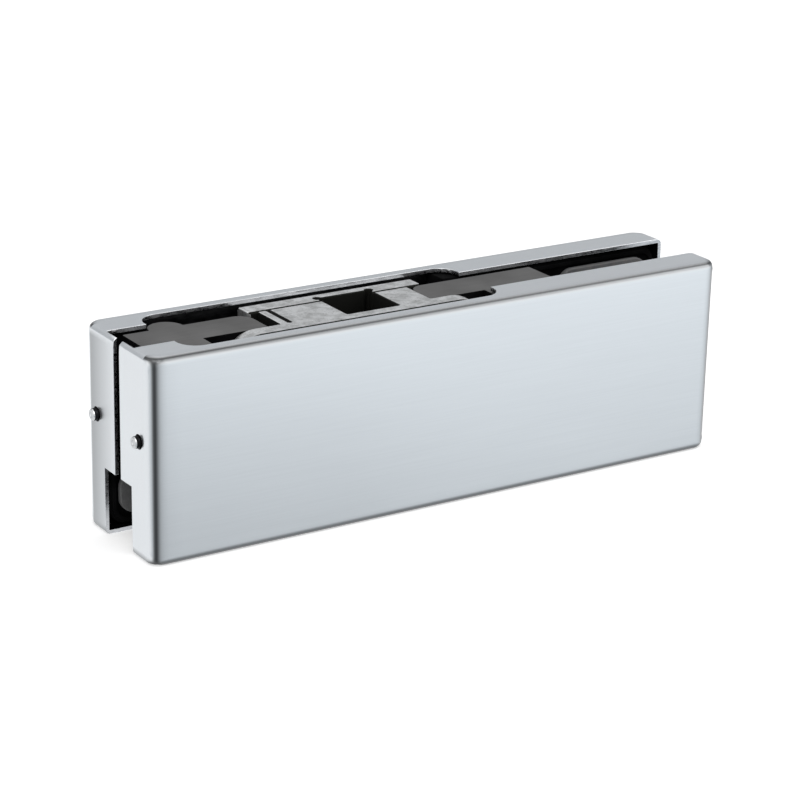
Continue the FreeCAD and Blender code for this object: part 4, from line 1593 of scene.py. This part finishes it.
    def grey_band(self) -> None:
        """Stand a curved grey wall behind the set, which only reflections see."""
        band = new_object("grey_band")
        first, last = (math.radians(angle) for angle in self.band_arc)
        with editing(band) as shape:
            rings = []
            for height in self.band_heights:
                ring = []
                for step in range(self.band_steps + 1):
                    angle = first + (last - first) * step / self.band_steps
                    across, along = self.band_radius * math.cos(angle), self.band_radius * math.sin(angle)
                    ring.append(shape.verts.new((across, along, height)))
                rings.append(ring)
            for step in range(self.band_steps):
                shape.faces.new((*rings[0][step:step + 2], rings[1][step + 1], rings[1][step]))
        material, maker = self.blank_material("grey_card")
        glow = maker.add("ShaderNodeEmission", {"Color": (*self.band_colour, 1.0)})
        maker.add("ShaderNodeOutputMaterial", {"Surface": glow.outputs["Emission"]})
        place_material(band, material)
        band.visible_camera = False
        band.visible_diffuse = False
        band.visible_shadow = False
        band.visible_transmission = False

    def softbox(self, name: str, place: Sequence[float], size: float, power: float) -> None:
        """Hang one soft light that looks at the object.

        Args:
            name: name of the light.
            place: where it hangs, in metres.
            size: side of its square.
            power: its power in watts.
        """
        data = bpy.data.lights.new(name, "AREA")
        data.shape = "SQUARE"
        data.size = size
        data.energy = power
        light = bpy.data.objects.new(name, data)
        bpy.context.scene.collection.objects.link(light)
        aim = Vector((0.0, 0.0, 0.02)) - Vector(place)
        turn = aim.to_track_quat("-Z", "Y").to_matrix().to_4x4()
        light.matrix_world = Matrix.Translation(Vector(place)) @ turn
        light.visible_camera = False

    def build(self) -> None:
        """Set up the whole studio."""
        bpy.context.scene.view_settings.view_transform = "Standard"
        self.camera()
        self.floor()
        self.world()
        self.grey_band()
        self.softbox("key_softbox", (-0.9, -1.0, 1.5), size=1.4, power=13.0)
        self.softbox("fill_softbox", (1.3, -0.5, 1.3), size=1.2, power=7.0)


def main() -> None:
    """Build the fitting and its studio."""
    logging.basicConfig(level=logging.INFO, format="%(name)s: %(message)s")
    Studio().build()
    # Painted shade that darkens the rear cover's end walls towards its outer face.
    rear_painted_shades = ((2.0, 5.0, 9.0, 13.0, 15.5), (0.48, 0.56, 0.72, 0.86, 0.95))
    for cover in (PressedCover(Half.FRONT), PressedCover(Half.REAR, wall_shades=rear_painted_shades)):
        cover.build()
        Casting(cover.half).build()
        GasketPad(cover.half).build()
    PivotInsert().build()
    tree = ThreadTree()
    steel = ScrewSteel("screw_steel").material()
    # Dark on the lock screws' sides, bright on their end faces.
    dark = ScrewSteel("blackened_screw_steel", (0.030, 0.030, 0.032), (0.012, 0.012, 0.013), 0.34).material()
    bright = ScrewSteel("bright_screw_steel", (0.80, 0.81, 0.82), (0.66, 0.67, 0.68), 0.26).material()
    clamp_names = tuple(f"clamp_screw_{place}" for place in ("left", "middle", "right"))
    insert_names = tuple(f"insert_screw_{end.word}" for end in End)
    CapScrews(
        names=clamp_names,
        thread=Thread(8.0, 1.25, 15.0),
        head_diameter=13.0,
        head_height=5.0,
        hex_size=5.0,
        hex_depth=3.0,
        head_side=-1,
        tree=tree,
        finish=steel,
    ).build()
    CapScrews(
        names=insert_names,
        thread=Thread(6.0, 1.0, 13.0),
        head_diameter=9.5,
        head_height=2.6,
        hex_size=4.0,
        hex_depth=1.6,
        head_side=1,
        tree=tree,
        finish=steel,
    ).build()
    LockScrews(tree, dark, bright).build()


if __name__ == "__main__":
    main()
